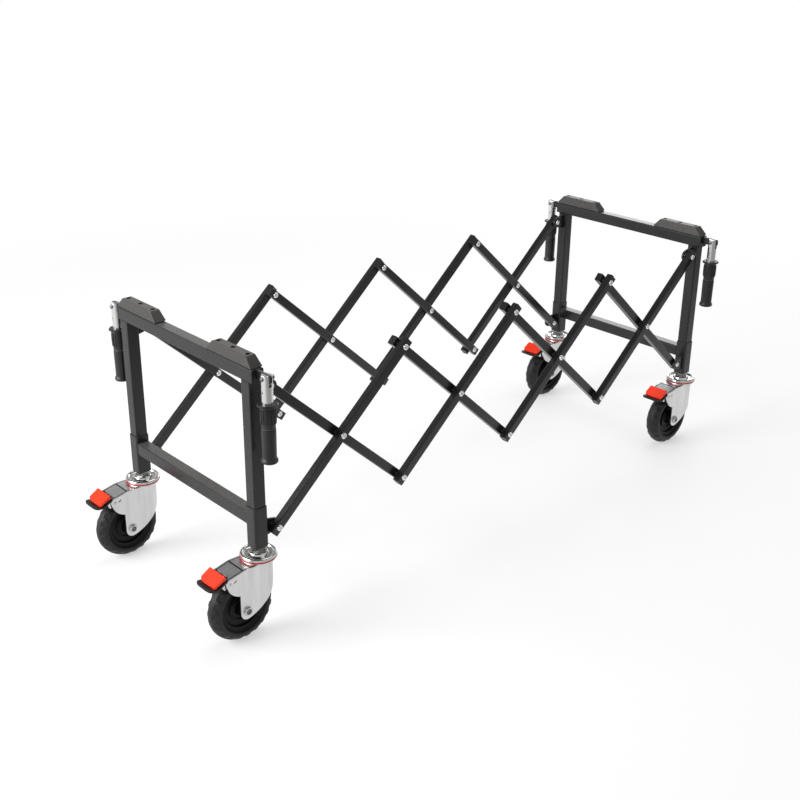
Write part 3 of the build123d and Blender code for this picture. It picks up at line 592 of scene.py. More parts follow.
def sleeve(x, toward, plate):
    """Right-hand socket for a post, with the guide tube inside it and its lower pivot bracket."""
    socket = upright("sleeve", x, SLEEVE, SLEEVE_CORNER, FOOT_Z, SLEEVE_TOP)
    hollow(socket, facing(1), SLEEVE_WALL, SLEEVE_TOP - FOOT_Z - SLEEVE_FLOOR)
    soften(socket, 0.5)
    guide = upright("guide", x, GUIDE, GUIDE_CORNER, FOOT_Z + SLEEVE_FLOOR / 2, GUIDE_TOP)
    hollow(guide, facing(1), GUIDE_WALL, GUIDE_DEPTH)
    lug = moved(bracket(SLEEVE, *plate, toward), shift(x + toward * PIVOT_OUT, 0, LOW_Z))
    return join("sleeve", socket, guide, lug)


for end, toward in ENDS.items():
    x = END_X[end]
    base, top = end + "_base", end + "_top"
    by_outer = (OUTER_BAR[0], OUTER_BAR[0] + PLATE)
    by_inner = (INNER_BAR[1] - PLATE, INNER_BAR[1])
    post_plate, sleeve_plate = (by_outer, by_inner) if end == "front" else (by_inner, by_outer)
    post_pattern, sleeve_pattern = post(x, toward, post_plate), sleeve(x, toward, sleeve_plate)
    for side, sign in SIDES.items():
        name = "%s_%s" % (end, side)
        show(copy_of(post_pattern, name + "_post", mirrored(sign)), top, "frame_black", POWDER,
             *on_left(side, end + "_posts"))
        show(copy_of(sleeve_pattern, name + "_sleeve", mirrored(sign)), base, "frame_black", POWDER,
             *on_left(side, end + "_sleeves"))
    drop(post_pattern, sleeve_pattern)
    rail = cross_tube(end + "_top_rail_tube", x, RAIL_END, RAIL_Z)
    show(soften(rail, 0.4), top, "frame_black", POWDER, end + "_top_rail")
    crossbar = cross_tube(end + "_crossbar_tube", x, POST_Y - SLEEVE / 2, CROSSBAR_Z - TUBE / 2)
    show(crossbar, base, "frame_black", POWDER, end + "_lower_crossbar")


# Support pads
def support_pad():
    """Pad about its middle, standing on z = 0: sloped ends and faces, and three deep screw holes."""
    hole_radius, mouth_radius, step_in = 4.5, 5.4, 2.4
    half_width, half_length = PAD_WIDTH / 2, PAD_LENGTH / 2
    pad = block("pad", (-half_width, -half_length, PAD_FOOT), (half_width, half_length, PAD_HEIGHT))
    edit(pad, "FACE", facing(1))
    bpy.ops.transform.resize(value=(PAD_TOP_WIDTH / PAD_WIDTH, PAD_TOP_LENGTH / PAD_LENGTH, 1))
    leave(pad)
    above = (PAD_FOOT + 0.8) * MM
    bevel(pad, lambda mesh, edge: max(mesh.vertices[i].co.z for i in edge.vertices) > above, 1.5, 3)
    edit(pad, "FACE", facing(-1))
    bpy.ops.mesh.inset(thickness=step_in * MM)
    bpy.ops.mesh.extrude_region_move(TRANSFORM_OT_translate={"value": point(0, 0, -PAD_FOOT)})
    leave(pad)
    for y in PAD_HOLES:
        hole = turned("hole", [(0, PAD_SEAT), (hole_radius, PAD_SEAT), (hole_radius, PAD_HEIGHT - 0.6),
                               (mouth_radius, PAD_HEIGHT + 0.3), (mouth_radius, PAD_HEIGHT + 2),
                               (0, PAD_HEIGHT + 2)], 32)
        combine(pad, "DIFFERENCE", moved(hole, shift(0, y, 0)))
    return pad


def pad_screw():
    """Round screw head with a cross recess, standing on z = 0."""
    head = turned("screw", [(0, 0), (4, 0), (4, 0.8), (3.3, 2), (2, 2.6), (0, 2.6)], 32)
    for long, wide in ((2.2, 0.5), (0.5, 2.2)):
        combine(head, "DIFFERENCE", block("recess", (-long, -wide, 1.2), (long, wide, 3)))
    return head


pad_pattern, screw_pattern = support_pad(), pad_screw()
for end, side in CORNERS:
    name, top = "%s_%s" % (end, side), end + "_top"
    x, y = END_X[end], SIDES[side] * PAD_Y
    pad = copy_of(pad_pattern, name + "_pad", shift(x, y, PAD_Z))
    show(pad, top, "pad_black", PAD_RUBBER, *on_left(side, end + "_support_pads"))
    heads = [copy_of(screw_pattern, "screw", shift(x, y + hole, PAD_Z + PAD_SEAT), turn(20 * i, "Z"))
             for i, hole in enumerate(PAD_HOLES)]
    screws = join(name + "_pad_screws", *heads)
    show(screws, top, "bolt_zinc", BOLT_ZINC, *on_left(side, end + "_top_fasteners"))


# Handles, drawn about the hinge pin of a right-hand handle
def hinge():
    """Cap on the rail's end and the flat tongue that the handle hangs on."""
    outline = [(x, z - PIN_UP) for x, z in rounded_square(TUBE, TUBE_CORNER)]
    cap = soften(slab("cap", outline, "Y", -PIN_OUT, CAP - PIN_OUT), 0.4)
    root, nose, half, corner = CAP - OVERLAP - PIN_OUT, 7.5, 8, 5
    tongue = [(root, -half)] + arc((nose, corner - half), corner, -90, 0, 6)
    tongue += arc((nose, half - corner), corner, 0, 90, 6) + [(root, half)]
    plate = soften(slab("tongue", tongue, "X", -TONGUE / 2, TONGUE / 2), 0.5)
    return join("hinge", cap, plate)


def hinge_pin():
    """Pin head toward the front and a hexagon nut toward the rear."""
    seat, sunk, height = HANDLE_R + 0.3, -0.3, 3
    head = turned("pin head", [(0, sunk), (3.9, sunk), (3.9, 0.8), (3.2, 1.6), (2, 2), (0, 2.1)], 32)
    moved(head, shift(-seat, 0, 0) @ turn(-90, "Y"))
    nut = slab("pin nut", hexagon(5), "Z", sunk, height)
    trim = turned("trim", [(0, -1), (5.2, -1), (5.2, 2.2), (4.2, height), (0, height)], 32)
    nut = join("pin nut", combine(nut, "INTERSECT", trim), rod("pin end", 2.8, 2, height, 24))
    moved(nut, shift(seat, 0, 0) @ turn(90, "Y"))
    shank = moved(rod("shank", 3, -seat - 0.1, seat + 0.1, 24), turn(90, "Y"))
    return join("hinge pin", head, nut, shank)


def handle_tube():
    """Tube with a solid head that is slotted for the tongue, and a stop hole below it."""
    low, top, bore, head_end, slot_end, stop_z = -147.5, 7, 8.5, -18, -13.5, -24
    wall = [(0, head_end), (bore, head_end), (bore, low), (HANDLE_R, low), (HANDLE_R, top - 1.2)]
    tube = turned("tube", wall + [(HANDLE_R - 0.4, top - 0.4), (HANDLE_R - 1.2, top), (0, top)], 56)
    half_slot = TONGUE / 2 + 0.3
    combine(tube, "DIFFERENCE", block("slot", (-half_slot, -20, slot_end), (half_slot, 20, top + 3)))
    stop = moved(rod("stop hole", 1.6, -20, 0, 16), shift(0, 0, stop_z) @ turn(90, "Y"))
    return soften(combine(tube, "DIFFERENCE", stop), 0.25, 1, 60)


def handle_grip():
    """Grip with a bevelled flange, ribbed collar, ring groove, waisted body and flared end."""
    flange = [(GRIP_BORE, 0), (16.4, 0), (18.3, -1.6), (18.3, -3.2), (17.6, -4), (14, -4.2), (12.8, -5.5)]
    collar = [(13.2, -9), (13.7, -16), (13.7, -26), (13.1, -36), (12.4, -41), (12.1, -42.5)]
    groove = [(11.9, -42.6), (11.9, -45.9)]
    body = [(12.5, -46), (12.9, -48), (12.9, -60), (12.6, -80), (12.5, -98.5)]
    flare = [(12.9, -100), (13.9, -102), (14.8, -104), (15, -105.5), (14.8, -107), (13.9, -108.4)]
    bottom = [(12.5, -109), (0, -109), (0, -103), (GRIP_BORE, -103), (GRIP_BORE, 0)]
    grip = turned("grip", flange + collar + groove + body + flare + bottom, 96)
    rib_pitch, rib_start, rib_end = 360 / 16, collar[0][1], collar[3][1]

    def on_ribs(mesh, face):
        bearing = math.degrees(math.atan2(face.center.y, face.center.x)) % rib_pitch
        outside = math.hypot(*face.normal.xy) > 0.9 and face.center.xy.length > (GRIP_BORE + 1) * MM
        return outside and rib_end < face.center.z / MM < rib_start and bearing < rib_pitch / 2
    edit(grip, "FACE", on_ribs)
    bpy.ops.mesh.inset(thickness=0.35 * MM, depth=1.1 * MM)
    leave(grip)
    return moved(grip, shift(0, 0, GRIP_TOP))


def grip_ring():
    """Satin ring in the grip's groove."""
    inner, outer, ease, low, high = 11.8, 12.6, 0.3, -44.9, -43.6
    rim = [(outer - ease, low), (outer, low + ease), (outer, high - ease), (outer - ease, high)]
    ring = turned("grip ring", [(inner, low)] + rim + [(inner, high), (inner, low)], 64)
    return moved(ring, shift(0, 0, GRIP_TOP))


hinge_pattern, pin_pattern = hinge(), hinge_pin()
tube_pattern, grip_pattern, ring_pattern = handle_tube(), handle_grip(), grip_ring()
for end, side in CORNERS:
    name, top = "%s_%s" % (end, side), end + "_top"
    handle = name + "_handle"
    x, y, z = handle_pin[end, side]
    place = (mirrored(SIDES[side]), shift(x, abs(y), z))
    show(copy_of(hinge_pattern, name + "_hinge", *place), top, "frame_black", POWDER,
         *on_left(side, end + "_handle_hinges"))
    show(copy_of(pin_pattern, name + "_hinge_pin", *place), top, "bolt_zinc", BOLT_STEEL_AND_RECESS_SHADE)
    show(copy_of(tube_pattern, name + "_tube", *place), handle, "zinc", TUBE_ZINC, handle + "_tube")
    show(copy_of(grip_pattern, name + "_grip", *place), handle, "grip_black", GRIP_RUBBER, handle + "_grip")
    show(copy_of(ring_pattern, name + "_grip_ring", *place), handle, "zinc", RING_GREY)


# Casters, drawn about the swivel axis
def across(x, z):
    """The move that lays a piece turned about Z across the fork."""
    return shift(x, 0, z) @ turn(90, "X")


def on_cheek(sign, x, z):
    """The move that stands a piece turned about Z on the outside of a cheek."""
    return shift(x, sign * FORK_HALF, z) @ turn(-90 * sign, "X")


def fork_outline():
    """Fork seen from the side: crown with its bent nose, lobed cheeks, legs and long curved back edge."""
    lobe, lobe_radius = (BEND_X, CROWN_Z - 12.5), 36
    tip, leg_radius = (AXLE_X, AXLE_Z - 2.5), 14
    leg = AXLE_X - leg_radius - lobe[0]
    notch = math.degrees(math.atan2(-math.sqrt(lobe_radius ** 2 - leg ** 2), leg)) % 360
    nose, lobe_tip = (NOSE_X, CROWN_Z - NOSE_DROP), (lobe[0] - lobe_radius, lobe[1])
    bulge = ((nose[0] + lobe_tip[0]) / 2 - 1.4, (nose[1] + lobe_tip[1]) / 2 + 2.1)
    outline = [(FORK_HALF, CROWN_Z), (BEND_X, CROWN_Z)] + arc_through(nose, bulge, lobe_tip, 5)
    outline += arc(lobe, lobe_radius, 180, notch, 12)[1:] + arc(tip, leg_radius, 180, 288, 14)
    back = arc_through(outline[-1], (FORK_HALF - 17, CROWN_Z - 66), (FORK_HALF, CROWN_Z), 16)
    return outline + back[1:-1]


def fork_plan(half):
    """Fork seen from above: straight cheeks and a round back."""
    return [(FORK_FRONT, half), (FORK_FRONT, -half)] + arc((0, 0), half, -90, 90, 24)


def fork_room():
    """The space inside a fork."""
    under, over, behind, ahead, below = CROWN_Z - SHEET, CROWN_Z + 2, 40, FORK_FRONT - 5, -5
    crown = [(behind, below), (behind, under), (BEND_X, under), (NOSE_X, under - NOSE_DROP)]
    mouth = [(NOSE_X, over), (ahead, over), (ahead, below)]
    room = slab("room", crown + mouth, "Y", -FORK_HALF, FORK_HALF)
    return combine(room, "INTERSECT", slab("inside", fork_plan(FORK_INSIDE), "Z", -10, CROWN_Z + 10))


def by_cheek(sign, inner, outer):
    """From one distance to another off the middle of the fork, on one side of it, low end first."""
    return sorted((sign * inner, sign * outer))


def cheek_mark(name, sign, length, width, depth, out):
    """Slanting bar in a cheek's face, from a depth below it to a height above it."""
    low, high = by_cheek(sign, FORK_HALF - depth, FORK_HALF + out)
    mark = block(name, (-length / 2, low, -width / 2), (length / 2, high, width / 2))
    return moved(mark, shift(MARK_X, 0, MARK_Z) @ turn(-MARK_LEAN, "Y"))


def fork():
    """Pressed fork: a round-backed shell, open below, with slots beside its bent nose plate."""
    shell = slab("fork", fork_outline(), "Y", -FORK_HALF - 1, FORK_HALF + 1)
    combine(shell, "INTERSECT", slab("plan", fork_plan(FORK_HALF), "Z", 0, CROWN_Z + 5))
    combine(shell, "DIFFERENCE", fork_room())
    # An edge through the marks keeps each cheek from becoming one face with a hole in it
    edit(shell)
    bpy.ops.mesh.bisect(plane_co=point(MARK_X, 0, 0), plane_no=(1, 0, 0))
    leave(shell)
    over = CROWN_Z + 3
    for sign in (-1, 1):
        for name, start, end, wide, deep in (("slot", FORK_FRONT, SLOT_END, 2, 20),
                                             ("line", SLOT_END - 1, LINE_END, 1.3, 1.2)):
            low, high = by_cheek(sign, FORK_INSIDE - wide, FORK_INSIDE + 0.05)
            combine(shell, "DIFFERENCE", block(name, (start, low, CROWN_Z - deep), (end, high, over)))
        combine(shell, "DIFFERENCE", cheek_mark("mark", sign, 7.2, 2.0, 0.7, 0.7))
    groove = block("groove", (BEND_X - 1, -FORK_INSIDE, CROWN_Z - 1.4), (BEND_X + 2, FORK_INSIDE, over))
    soften(combine(shell, "DIFFERENCE", groove), 0.6, 2, 50)
    combine(shell, "DIFFERENCE", rod("bore", STEM_BORE, CROWN_Z - 9, CROWN_Z + 5, 48))
    low, high, radius, ease = CROWN_Z - 1, CROWN_Z + 2, 31, 0.4
    race = turned("race", [(STEM_BORE, low), (radius, low), (radius, high - ease), (radius - ease, high),
                           (STEM_BORE, high), (STEM_BORE, low)], 64)
    return join("fork", shell, race)


def fork_gaps():
    """Dark sheets a little below the surface in the gaps round the nose plate and in the cheek marks: painted
    shade in those gaps.
    """
    top, thick, tip = CROWN_Z - 0.35, 0.8, NOSE_X + 0.4
    parts = [block("gap", (BEND_X - 0.9, 2 - FORK_INSIDE, top - thick), (BEND_X + 1.9, FORK_INSIDE - 2, top))]
    slope = [(SLOT_END, top), (BEND_X, top), (tip, top - 5.9)]
    slope += [(x, z - 1.1) for x, z in reversed(slope)]
    for sign in (-1, 1):
        parts.append(slab("gap", slope, "Y", *by_cheek(sign, FORK_INSIDE - 1.9, FORK_INSIDE - 0.1)))
        low, high = by_cheek(sign, FORK_INSIDE - 1.2, FORK_INSIDE - 0.1)
        parts.append(block("gap", (SLOT_END, low, top - thick), (LINE_END - 0.2, high, top)))
        parts.append(cheek_mark("gap", sign, 6.8, 1.7, 0.9, -0.3))
    return join("fork gap shade", *parts)


def axle_bolt():
    """Hexagon heads with a shallow recess on both ends of the axle, and rivet heads on the brake pin."""
    height = 4.5
    head = slab("axle head", hexagon(8.5), "Z", 0, height)
    combine(head, "INTERSECT", turned("trim", [(0, -1), (9, -1), (9, 3.2), (7, height), (0, height)], 40))
    combine(head, "DIFFERENCE", turned("recess", [(0, 2), (5.2, 2), (5.6, 6), (0, 6)], 32))
    soften(head, 0.2, 1, 40)
    washer = turned("washer", [(AXLE_R, -0.2), (10, -0.2), (10, 0.5), (9.6, 0.8), (AXLE_R, 0.8),
                               (AXLE_R, -0.2)], 40)
    rivet = turned("rivet", [(0, -0.5), (3.4, -0.5), (3.3, 0.3), (2.6, 0.8), (0, 1)], 24)
    parts = []
    for sign in (-1, 1):
        out = on_cheek(sign, AXLE_X, AXLE_Z)
        parts += [copy_of(head, "axle head", out), copy_of(washer, "axle washer", out)]
        parts.append(copy_of(rivet, "rivet", on_cheek(sign, PIN_X, PIN_Z)))
    drop(head, washer, rivet)
    axle_rod = moved(rod("axle rod", AXLE_R, -ROD_HALF, ROD_HALF, 24), across(AXLE_X, AXLE_Z))
    brake_rod = moved(rod("brake rod", BRAKE_PIN_R, -ROD_HALF, ROD_HALF, 16), across(PIN_X, PIN_Z))
    return join("axle bolt", *parts, axle_rod, brake_rod)


def axle_ends():
    """Threaded ends of the axle, set back in both nuts, in dark steel that also paints the shade in the nuts'
    recesses.
    """
    tip = turned("axle end", [(0, 1.5), (4.6, 1.5), (4.6, 3.2), (4, 3.9), (2, 3.9), (1.6, 3.4), (0, 3.4)], 32)
    ends = [copy_of(tip, "axle end", on_cheek(sign, AXLE_X, AXLE_Z)) for sign in (-1, 1)]
    drop(tip)
    return join("axle ends", *ends)


def tyre():
    """Round-shouldered tyre with a row of shallow hollows on each shoulder."""
    wall = [(44.05, 0), (44.05, 9.6), (44.6, 10.1), (46, 11.6), (46.9, 13.6), (47.7, 15.4), (48.8, 16.4),
            (50.2, 16.9)]
    shoulder = [(14, 17), (12, 16.8), (9.5, 16.1), (7, 14.8), (4.6, 12.7), (2.7, 10), (1.2, 6.6), (0.3, 3.2)]
    side = wall + [(WHEEL_R - sunk, half) for sunk, half in shoulder]
    tread = [(WHEEL_R, 0)]
    profile = [(r, -w) for r, w in side] + tread + [(r, w) for r, w in reversed(side)]
    piece = turned("tyre", profile, 120)
    hollow_pitch, hollow_span = 18, 12
    (deep, wide), (shallow, narrow) = shoulder[2], shoulder[6]

    def in_hollows(mesh, face):
        radius, half = face.center.xy.length / MM, face.center.z / MM
        offset = hollow_pitch / 2 if half > 0 else 0
        bearing = math.degrees(math.atan2(face.center.y, face.center.x)) + offset
        on_shoulder = shallow < WHEEL_R - radius < deep and narrow < abs(half) < wide
        return on_shoulder and bearing % hollow_pitch < hollow_span
    edit(piece, "FACE", in_hollows)
    for thickness, depth in ((1.0, -0.4), (1.2, -0.9), (1.0, -0.3)):
        bpy.ops.mesh.inset(thickness=thickness * MM, depth=depth * MM)
    leave(piece)
    return moved(piece, across(AXLE_X, AXLE_Z))


def hub():
    """Wheel centre: boss, dished web with a raised ring on each side and a rim for the tyre."""
    boss = [(AXLE_R + 0.05, 21.2), (5.5, 21.7), (13, 21.7), (14, 20.9), (15, 9), (16.4, 6), (18.5, 4.8)]
    ring = [(23.2, 4.3), (24, 4.8), (24, 7.4), (24.6, 8), (26.4, 8), (27, 7.4), (27, 4.6), (28, 4)]
    rim = [(35, 4), (36.6, 4.8), (37.4, 6.4), (38, 9.4), (38.6, 10), (44, 10)]
    side = boss + ring + rim
    piece = turned("hub", side + [(r, -w) for r, w in reversed(side)] + side[:1], 80)
    return moved(piece, across(AXLE_X, AXLE_Z))


def cup():
    """Swivel cup with a round rim, a sunk ledge and a boss."""
    skirt = [(0, 0), (32.4, 0), (33.3, 0.5), (33.5, 1.2), (33.2, 1.9), (32.5, 2.2), (32.6, 2.6)]
    rim = [(33.3, 3), (33.5, 3.7), (33.2, 4.6), (32.4, 5.5), (31.2, 6.1), (29.8, 6.2), (28.6, 5.8)]
    ledge = [(27.6, 4.8), (26.9, 3.4), (25.6, 2.5), (24, 2.3), (19.6, 2.3)]
    boss = [(18.4, 2.9), (17.3, 6.4), (16.4, 7.5), (15, 8), (0, 8)]
    return turned("cup", [(r, CUP_Z + height) for r, height in skirt + rim + ledge + boss], 96)


def swivel_nut():
    """Hexagon nut on the cup, and the stem that goes through cup and fork."""
    seat = CUP_Z + 8
    nut = slab("nut", hexagon(13.86), "Z", seat, FOOT_Z)
    trim = turned("trim", [(0, CUP_Z + 7), (13, CUP_Z + 7), (12.6, seat), (14.2, CUP_Z + 9.2),
                           (14.2, FOOT_Z - 1.4), (12.2, FOOT_Z), (0, FOOT_Z)], 48)
    combine(nut, "INTERSECT", trim)
    low, high, radius = CROWN_Z - SHEET - 0.3, FOOT_Z + 18, 6
    stem = turned("stem", [(0, low - 3), (10, low - 3), (11, low - 2), (11, low), (radius, low),
                           (radius, high), (0, high)], 32)
    return join("nut", nut, stem)


def seal():
    """Dust seal with two lips."""
    profile = [(28, 0), (32.6, 0), (33, 0.3), (33, 0.8), (32.2, 1.3), (32.2, 1.6), (33.6, 1.7), (34, 2),
               (34, 2.7), (33.6, 3), (28, 3), (28, 0)]
    return turned("seal", [(r, SEAL_Z + height) for r, height in profile], 80)


def on_slope(down, below):
    """A point down the pedals' slope from the release pedal's back top edge, and below its top face."""
    slope, back_x, back_z = math.radians(31), -88, CROWN_Z + 3.2
    return (back_x - down * math.cos(slope) + below * math.sin(slope),
            back_z - down * math.sin(slope) - below * math.cos(slope))


def pedal(name, outline, reach, width, corner, bow):
    """A pedal by its side outline and its plan: round front corners and a bowed front edge."""
    half, shoulder, heel = width / 2, bow - reach, -70
    front = arc_through((shoulder, half - corner), (-reach, 0), (shoulder, corner - half), 8)
    right = arc((shoulder + corner, half - corner), corner, 90, 180, 6)[:-1]
    left = arc((shoulder + corner, corner - half), corner, 180, 270, 6)[1:]
    plan = [(heel, half)] + right + front + left + [(heel, -half)]
    piece = slab(name, outline, "Y", -half - 5, half + 5)
    return combine(piece, "INTERSECT", slab("plan", plan, "Z", AXLE_Z, FOOT_Z))


def brake_pedal():
    """Black pedal plate with a round lip turned up along its front edge."""
    top, under, end, lip = 8.5, 12, 24, (-119.2, CROWN_Z - 16.1)
    neck_x, neck_half, gap_x = -89, 21, -94
    outline = [on_slope(0, top), on_slope(18, top), on_slope(end, top)] + arc(lip, 2.3, 95, 285, 12)
    plate = pedal("plate", outline + [on_slope(end, under), on_slope(0, under)], 121.5, 50, 9, 2)
    for sign in (-1, 1):
        low, high = by_cheek(sign, neck_half, neck_half + 19)
        combine(plate, "DIFFERENCE", block("neck", (neck_x, low, AXLE_Z), (0, high, FOOT_Z)))
    combine(plate, "DIFFERENCE", block("gap", (gap_x, -LEVER_INNER, AXLE_Z), (0, LEVER_INNER, FOOT_Z)))
    return soften(plate, 0.9, 3, 40)


def pedal_eye(corners, low, high):
    """Lever arm from the brake pin's eye to some corners of a pedal, as a hull in side view."""
    eye = arc((PIN_X, PIN_Z), 5.5, 0, 345, 23)
    dots = sorted(eye + corners)

    def half_hull(run):
        kept = []
        for spot in run:
            while len(kept) > 1 and ((kept[-1][0] - kept[-2][0]) * (spot[1] - kept[-2][1])
                                     - (kept[-1][1] - kept[-2][1]) * (spot[0] - kept[-2][0])) <= 0:
                kept.pop()
            kept.append(spot)
        return kept
    outline = half_hull(dots)[:-1] + half_hull(dots[::-1])[:-1]
    return slab("lever", outline, "Y", low, high)


def brake_levers():
    """Zinc lever arms under the black pedal, each with a brake shoe over the tyre."""
    top, under, reach, tyre_gap = 8.7, 13, 10, 3.2
    arms = []
    for sign in (-1, 1):
        low, high = by_cheek(sign, LEVER_INNER, LEVER_OUTER)
        corners = [on_slope(0, top), on_slope(reach, top), on_slope(reach, under), on_slope(0, under)]
        arm = pedal_eye(corners, low, high)
        shoe = block("shoe", (PIN_X - 8, low, PIN_Z - 18), (PIN_X, high, PIN_Z))
        tyre_space = moved(rod("tyre space", WHEEL_R + tyre_gap, -30, 30, 96), across(AXLE_X, AXLE_Z))
        combine(shoe, "DIFFERENCE", tyre_space)
        arms.append(soften(combine(arm, "UNION", shoe), 0.4, 1, 50))
    return join("brake levers", *arms)


def release_pedal():
    """Orange pedal block with rounded edges, thinner toward its front."""
    length, thin, thick = 28, 4.5, 7
    outline = [on_slope(0, 0), on_slope(length, 0), on_slope(length, thin), on_slope(0, thick)]
    return soften(pedal("release", outline, 111.9, 46, 4.5, 2.5), 1.4, 4, 50)


def release_lever():
    """Zinc arm from the orange pedal to the brake pin."""
    return soften(pedal_eye([on_slope(2, 6), on_slope(9, 6)], -7, 7), 0.5, 2, 50)


caster_patterns = {
    "fork": (fork(), "caster", "zinc", ZINC, "caster_fork"),
    "axle_bolt": (axle_bolt(), "caster", "bolt_zinc", AXLE_ZINC, None),
    # The axle ends' dark steel also paints the shade in the nuts' recesses
    "axle_ends": (axle_ends(), "caster", "bolt_zinc", BOLT_STEEL_AND_RECESS_SHADE, None),
    "fork_gaps": (fork_gaps(), "caster", "zinc", PAINTED_GAP_SHADE, None),
    "tyre": (tyre(), "wheel", "tyre_black", TYRE_RUBBER, "caster_tyre"),
    "hub": (hub(), "wheel", "hub_black", HUB_PLASTIC, "caster_hub"),
    "pedal": (brake_pedal(), "pedal", "pedal_black", PEDAL_BLACK, "brake_pedal"),
    "pedal_levers": (brake_levers(), "pedal", "zinc", ZINC, None),
    "release": (release_pedal(), "release", "release_orange", PEDAL_ORANGE, "release_pedal"),
    "release_lever": (release_lever(), "release", "zinc", ZINC, None),
}
cup_pattern, nut_pattern, seal_pattern = cup(), swivel_nut(), seal()
for end, side in CORNERS:
    name, base = "%s_%s" % (end, side), end + "_base"
    place = shift(swivel[end, side].x, swivel[end, side].y, 0)
    for label, (pattern, body, slot, material, node) in caster_patterns.items():
        piece = copy_of(pattern, name + "_" + label, place)
        show(piece, name + "_" + body, slot, material, *([name + "_" + node] if node else []))
    show(copy_of(cup_pattern, name + "_cup", place), base, "zinc", CUP_ZINC,
         *on_left(side, end + "_caster_stems"))
    show(copy_of(nut_pattern, name + "_nut", place), base, "zinc", NUT_STEEL)
    show(copy_of(seal_pattern, name + "_seal", place), base, "seal_red", SEAL_RED,
         *on_left(side, end + "_seal_rings"))

# Pivot bolts that stay with the end frames
bolt_pair("rear_lower_pivot_bolts_1", "rear_base", (pivot_x[-1], LOW_Z), INNER_BAR[0], OUTER_BAR[0] + PLATE,
          "rear_lower_pivot_bolts")
bolt_pair("front_upper_pivot_bolt", "front_top", (pivot_x[0], HIGH_Z), INNER_BAR[0], OUTER_BAR[0] + PLATE)

drop(bar_pattern, head_pattern, washer_pattern, pad_pattern, screw_pattern, hinge_pattern, pin_pattern,
     tube_pattern, grip_pattern, ring_pattern, cup_pattern, nut_pattern, seal_pattern)
drop(*[pattern[0] for pattern in caster_patterns.values()])


# Floor, light and background
def floor_paper():
    """Pale paper with the cart's shadow, which fades to white away from the cart.

    Shiny faces see it all white, dimmer on the camera's side."""
    paper = bpy.data.materials.new("pale floor")
    paper.use_nodes = True
    tree = paper.node_tree
    sheet = tree.nodes["Principled BSDF"]
    sheet.inputs["Base Color"].default_value = (*grey(0.93), 1)
    sheet.inputs["Roughness"].default_value = 0.9
    sheet.inputs["Specular IOR Level"].default_value = 0.1
    place = add(tree, "ShaderNodeTexCoord")
    away = add(tree, "ShaderNodeVectorMath", operation="LENGTH")
    fade = add(tree, "ShaderNodeMapRange", {"From Min": 1.0, "From Max": 2.6, "To Min": 0.5})
    split = add(tree, "ShaderNodeSeparateXYZ")
    dimmer_front = add(tree, "ShaderNodeMapRange", {"From Min": -1.2, "From Max": -0.45, "To Min": 0.35})
    glow = add(tree, "ShaderNodeEmission")
    rays = add(tree, "ShaderNodeLightPath")
    strength = add(tree, "ShaderNodeMix", {VALUE_A: 1.0})
    seen_or_mirrored = add(tree, "ShaderNodeMath", operation="MAXIMUM")
    through_too = add(tree, "ShaderNodeMath", operation="MAXIMUM")
    whole = add(tree, "ShaderNodeMath", operation="MAXIMUM")
    share = add(tree, "ShaderNodeMath", operation="MULTIPLY")
    both = add(tree, "ShaderNodeMixShader")
    wire(tree,
         (place, "Object", away, 0), (away, "Value", fade, "Value"),
         (rays, "Is Camera Ray", seen_or_mirrored, 0), (rays, "Is Glossy Ray", seen_or_mirrored, 1),
         (seen_or_mirrored, 0, through_too, 0), (rays, "Is Transmission Ray", through_too, 1),
         (place, "Object", split, 0), (split, "Y", dimmer_front, "Value"),
         (rays, "Is Glossy Ray", strength, 0), (dimmer_front, "Result", strength, VALUE_B),
         (strength, 0, glow, "Strength"), (fade, "Result", whole, 0), (rays, "Is Glossy Ray", whole, 1),
         (whole, 0, share, 0), (through_too, 0, share, 1), (share, 0, both, 0),
         (sheet, 0, both, 1), (glow, 0, both, 2), (both, 0, tree.nodes["Material Output"], "Surface"))
    return paper


def softbox(name, place, size, power):
    """A square area light that looks at the middle of the cart."""
    bpy.ops.object.light_add(type="AREA", location=place)
    light = bpy.context.active_object
    light.name = name
    light.data.shape, light.data.size, light.data.energy = "SQUARE", size, power
    light.rotation_euler = (Vector((0, 0, 0.3)) - light.location).to_track_quat("-Z", "Y").to_euler()


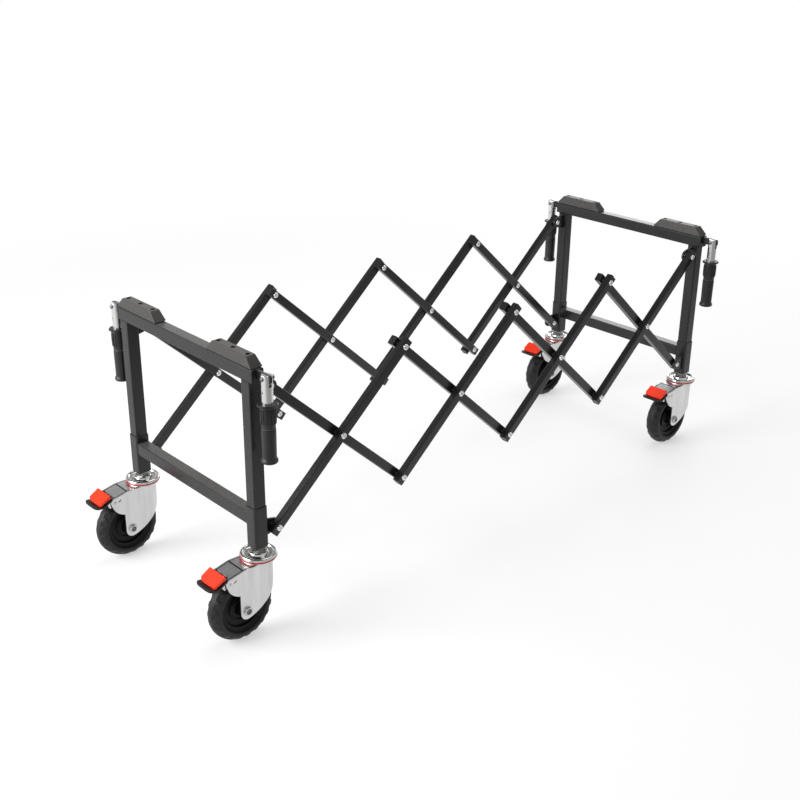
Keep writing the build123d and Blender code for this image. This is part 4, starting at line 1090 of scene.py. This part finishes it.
def studio():
    """White background with an even light; shiny faces see it darken from the horizon up."""
    world = bpy.data.worlds.new("white studio")
    world.use_nodes = True
    tree = world.node_tree
    background = tree.nodes["Background"]
    background.inputs["Color"].default_value = (*grey(1), 1)
    rays = add(tree, "ShaderNodeLightPath")
    way = add(tree, "ShaderNodeTexCoord")
    height = add(tree, "ShaderNodeSeparateXYZ")
    ceiling = add(tree, "ShaderNodeValToRGB")
    ramp = ceiling.color_ramp.elements
    ramp[0].position, ramp[0].color = 0.34, (*grey(1), 1)
    ramp[1].position, ramp[1].color = 0.85, (*grey(0.06), 1)
    ramp.new(0.44).color = (*grey(0.44), 1)
    ramp.new(0.64).color = (*grey(0.40), 1)
    lit = add(tree, "ShaderNodeMix", {VALUE_A: 0.42})
    seen = add(tree, "ShaderNodeMath", operation="MAXIMUM")
    level = add(tree, "ShaderNodeMix", {VALUE_B: 1.0})
    wire(tree,
         (way, "Generated", height, 0), (height, "Z", ceiling, "Fac"),
         (rays, "Is Glossy Ray", lit, 0), (ceiling, "Color", lit, VALUE_B),
         (rays, "Is Camera Ray", seen, 0), (rays, "Is Transmission Ray", seen, 1),
         (seen, 0, level, 0), (lit, 0, level, VALUE_A), (level, 0, background, "Strength"))
    return world


# The stage is placed in metres, with its lamps in watts
bpy.ops.object.select_all(action="DESELECT")
bpy.ops.mesh.primitive_plane_add(size=30)
floor = new_piece("floor")
floor.data.materials.append(floor_paper())

softbox("front key", (-2.7, 0.9, 1.5), 2.0, 98)
softbox("top", (1.0, 0.3, 3.4), 2.4, 52)
softbox("back rim", (3.1, 1.6, 1.3), 1.6, 16)

scene = bpy.context.scene
scene.world = studio()
scene.view_settings.view_transform = "Standard"

# Camera, as in the photograph: from the front left, a little above
azimuth, elevation, roll = math.radians(-42.34), math.radians(23.28), 0.58
level = math.cos(elevation)
right = Vector((math.cos(azimuth), math.sin(azimuth), 0))
back = Vector((math.sin(azimuth) * level, -math.cos(azimuth) * level, math.sin(elevation)))
aim = Matrix((right, back.cross(right), back)).transposed().to_4x4()
bpy.ops.object.camera_add()
camera = bpy.context.active_object
camera.name = "camera"
camera.data.lens, camera.data.sensor_width = 53.11, 36
camera.matrix_world = shift(-1638.75, -1719.6, HIGH_Z + 771.9) @ aim @ turn(roll, "Z")
camera.data.clip_start, camera.data.clip_end = 0.05, 60
scene.camera = camera

bpy.context.view_layer.update()
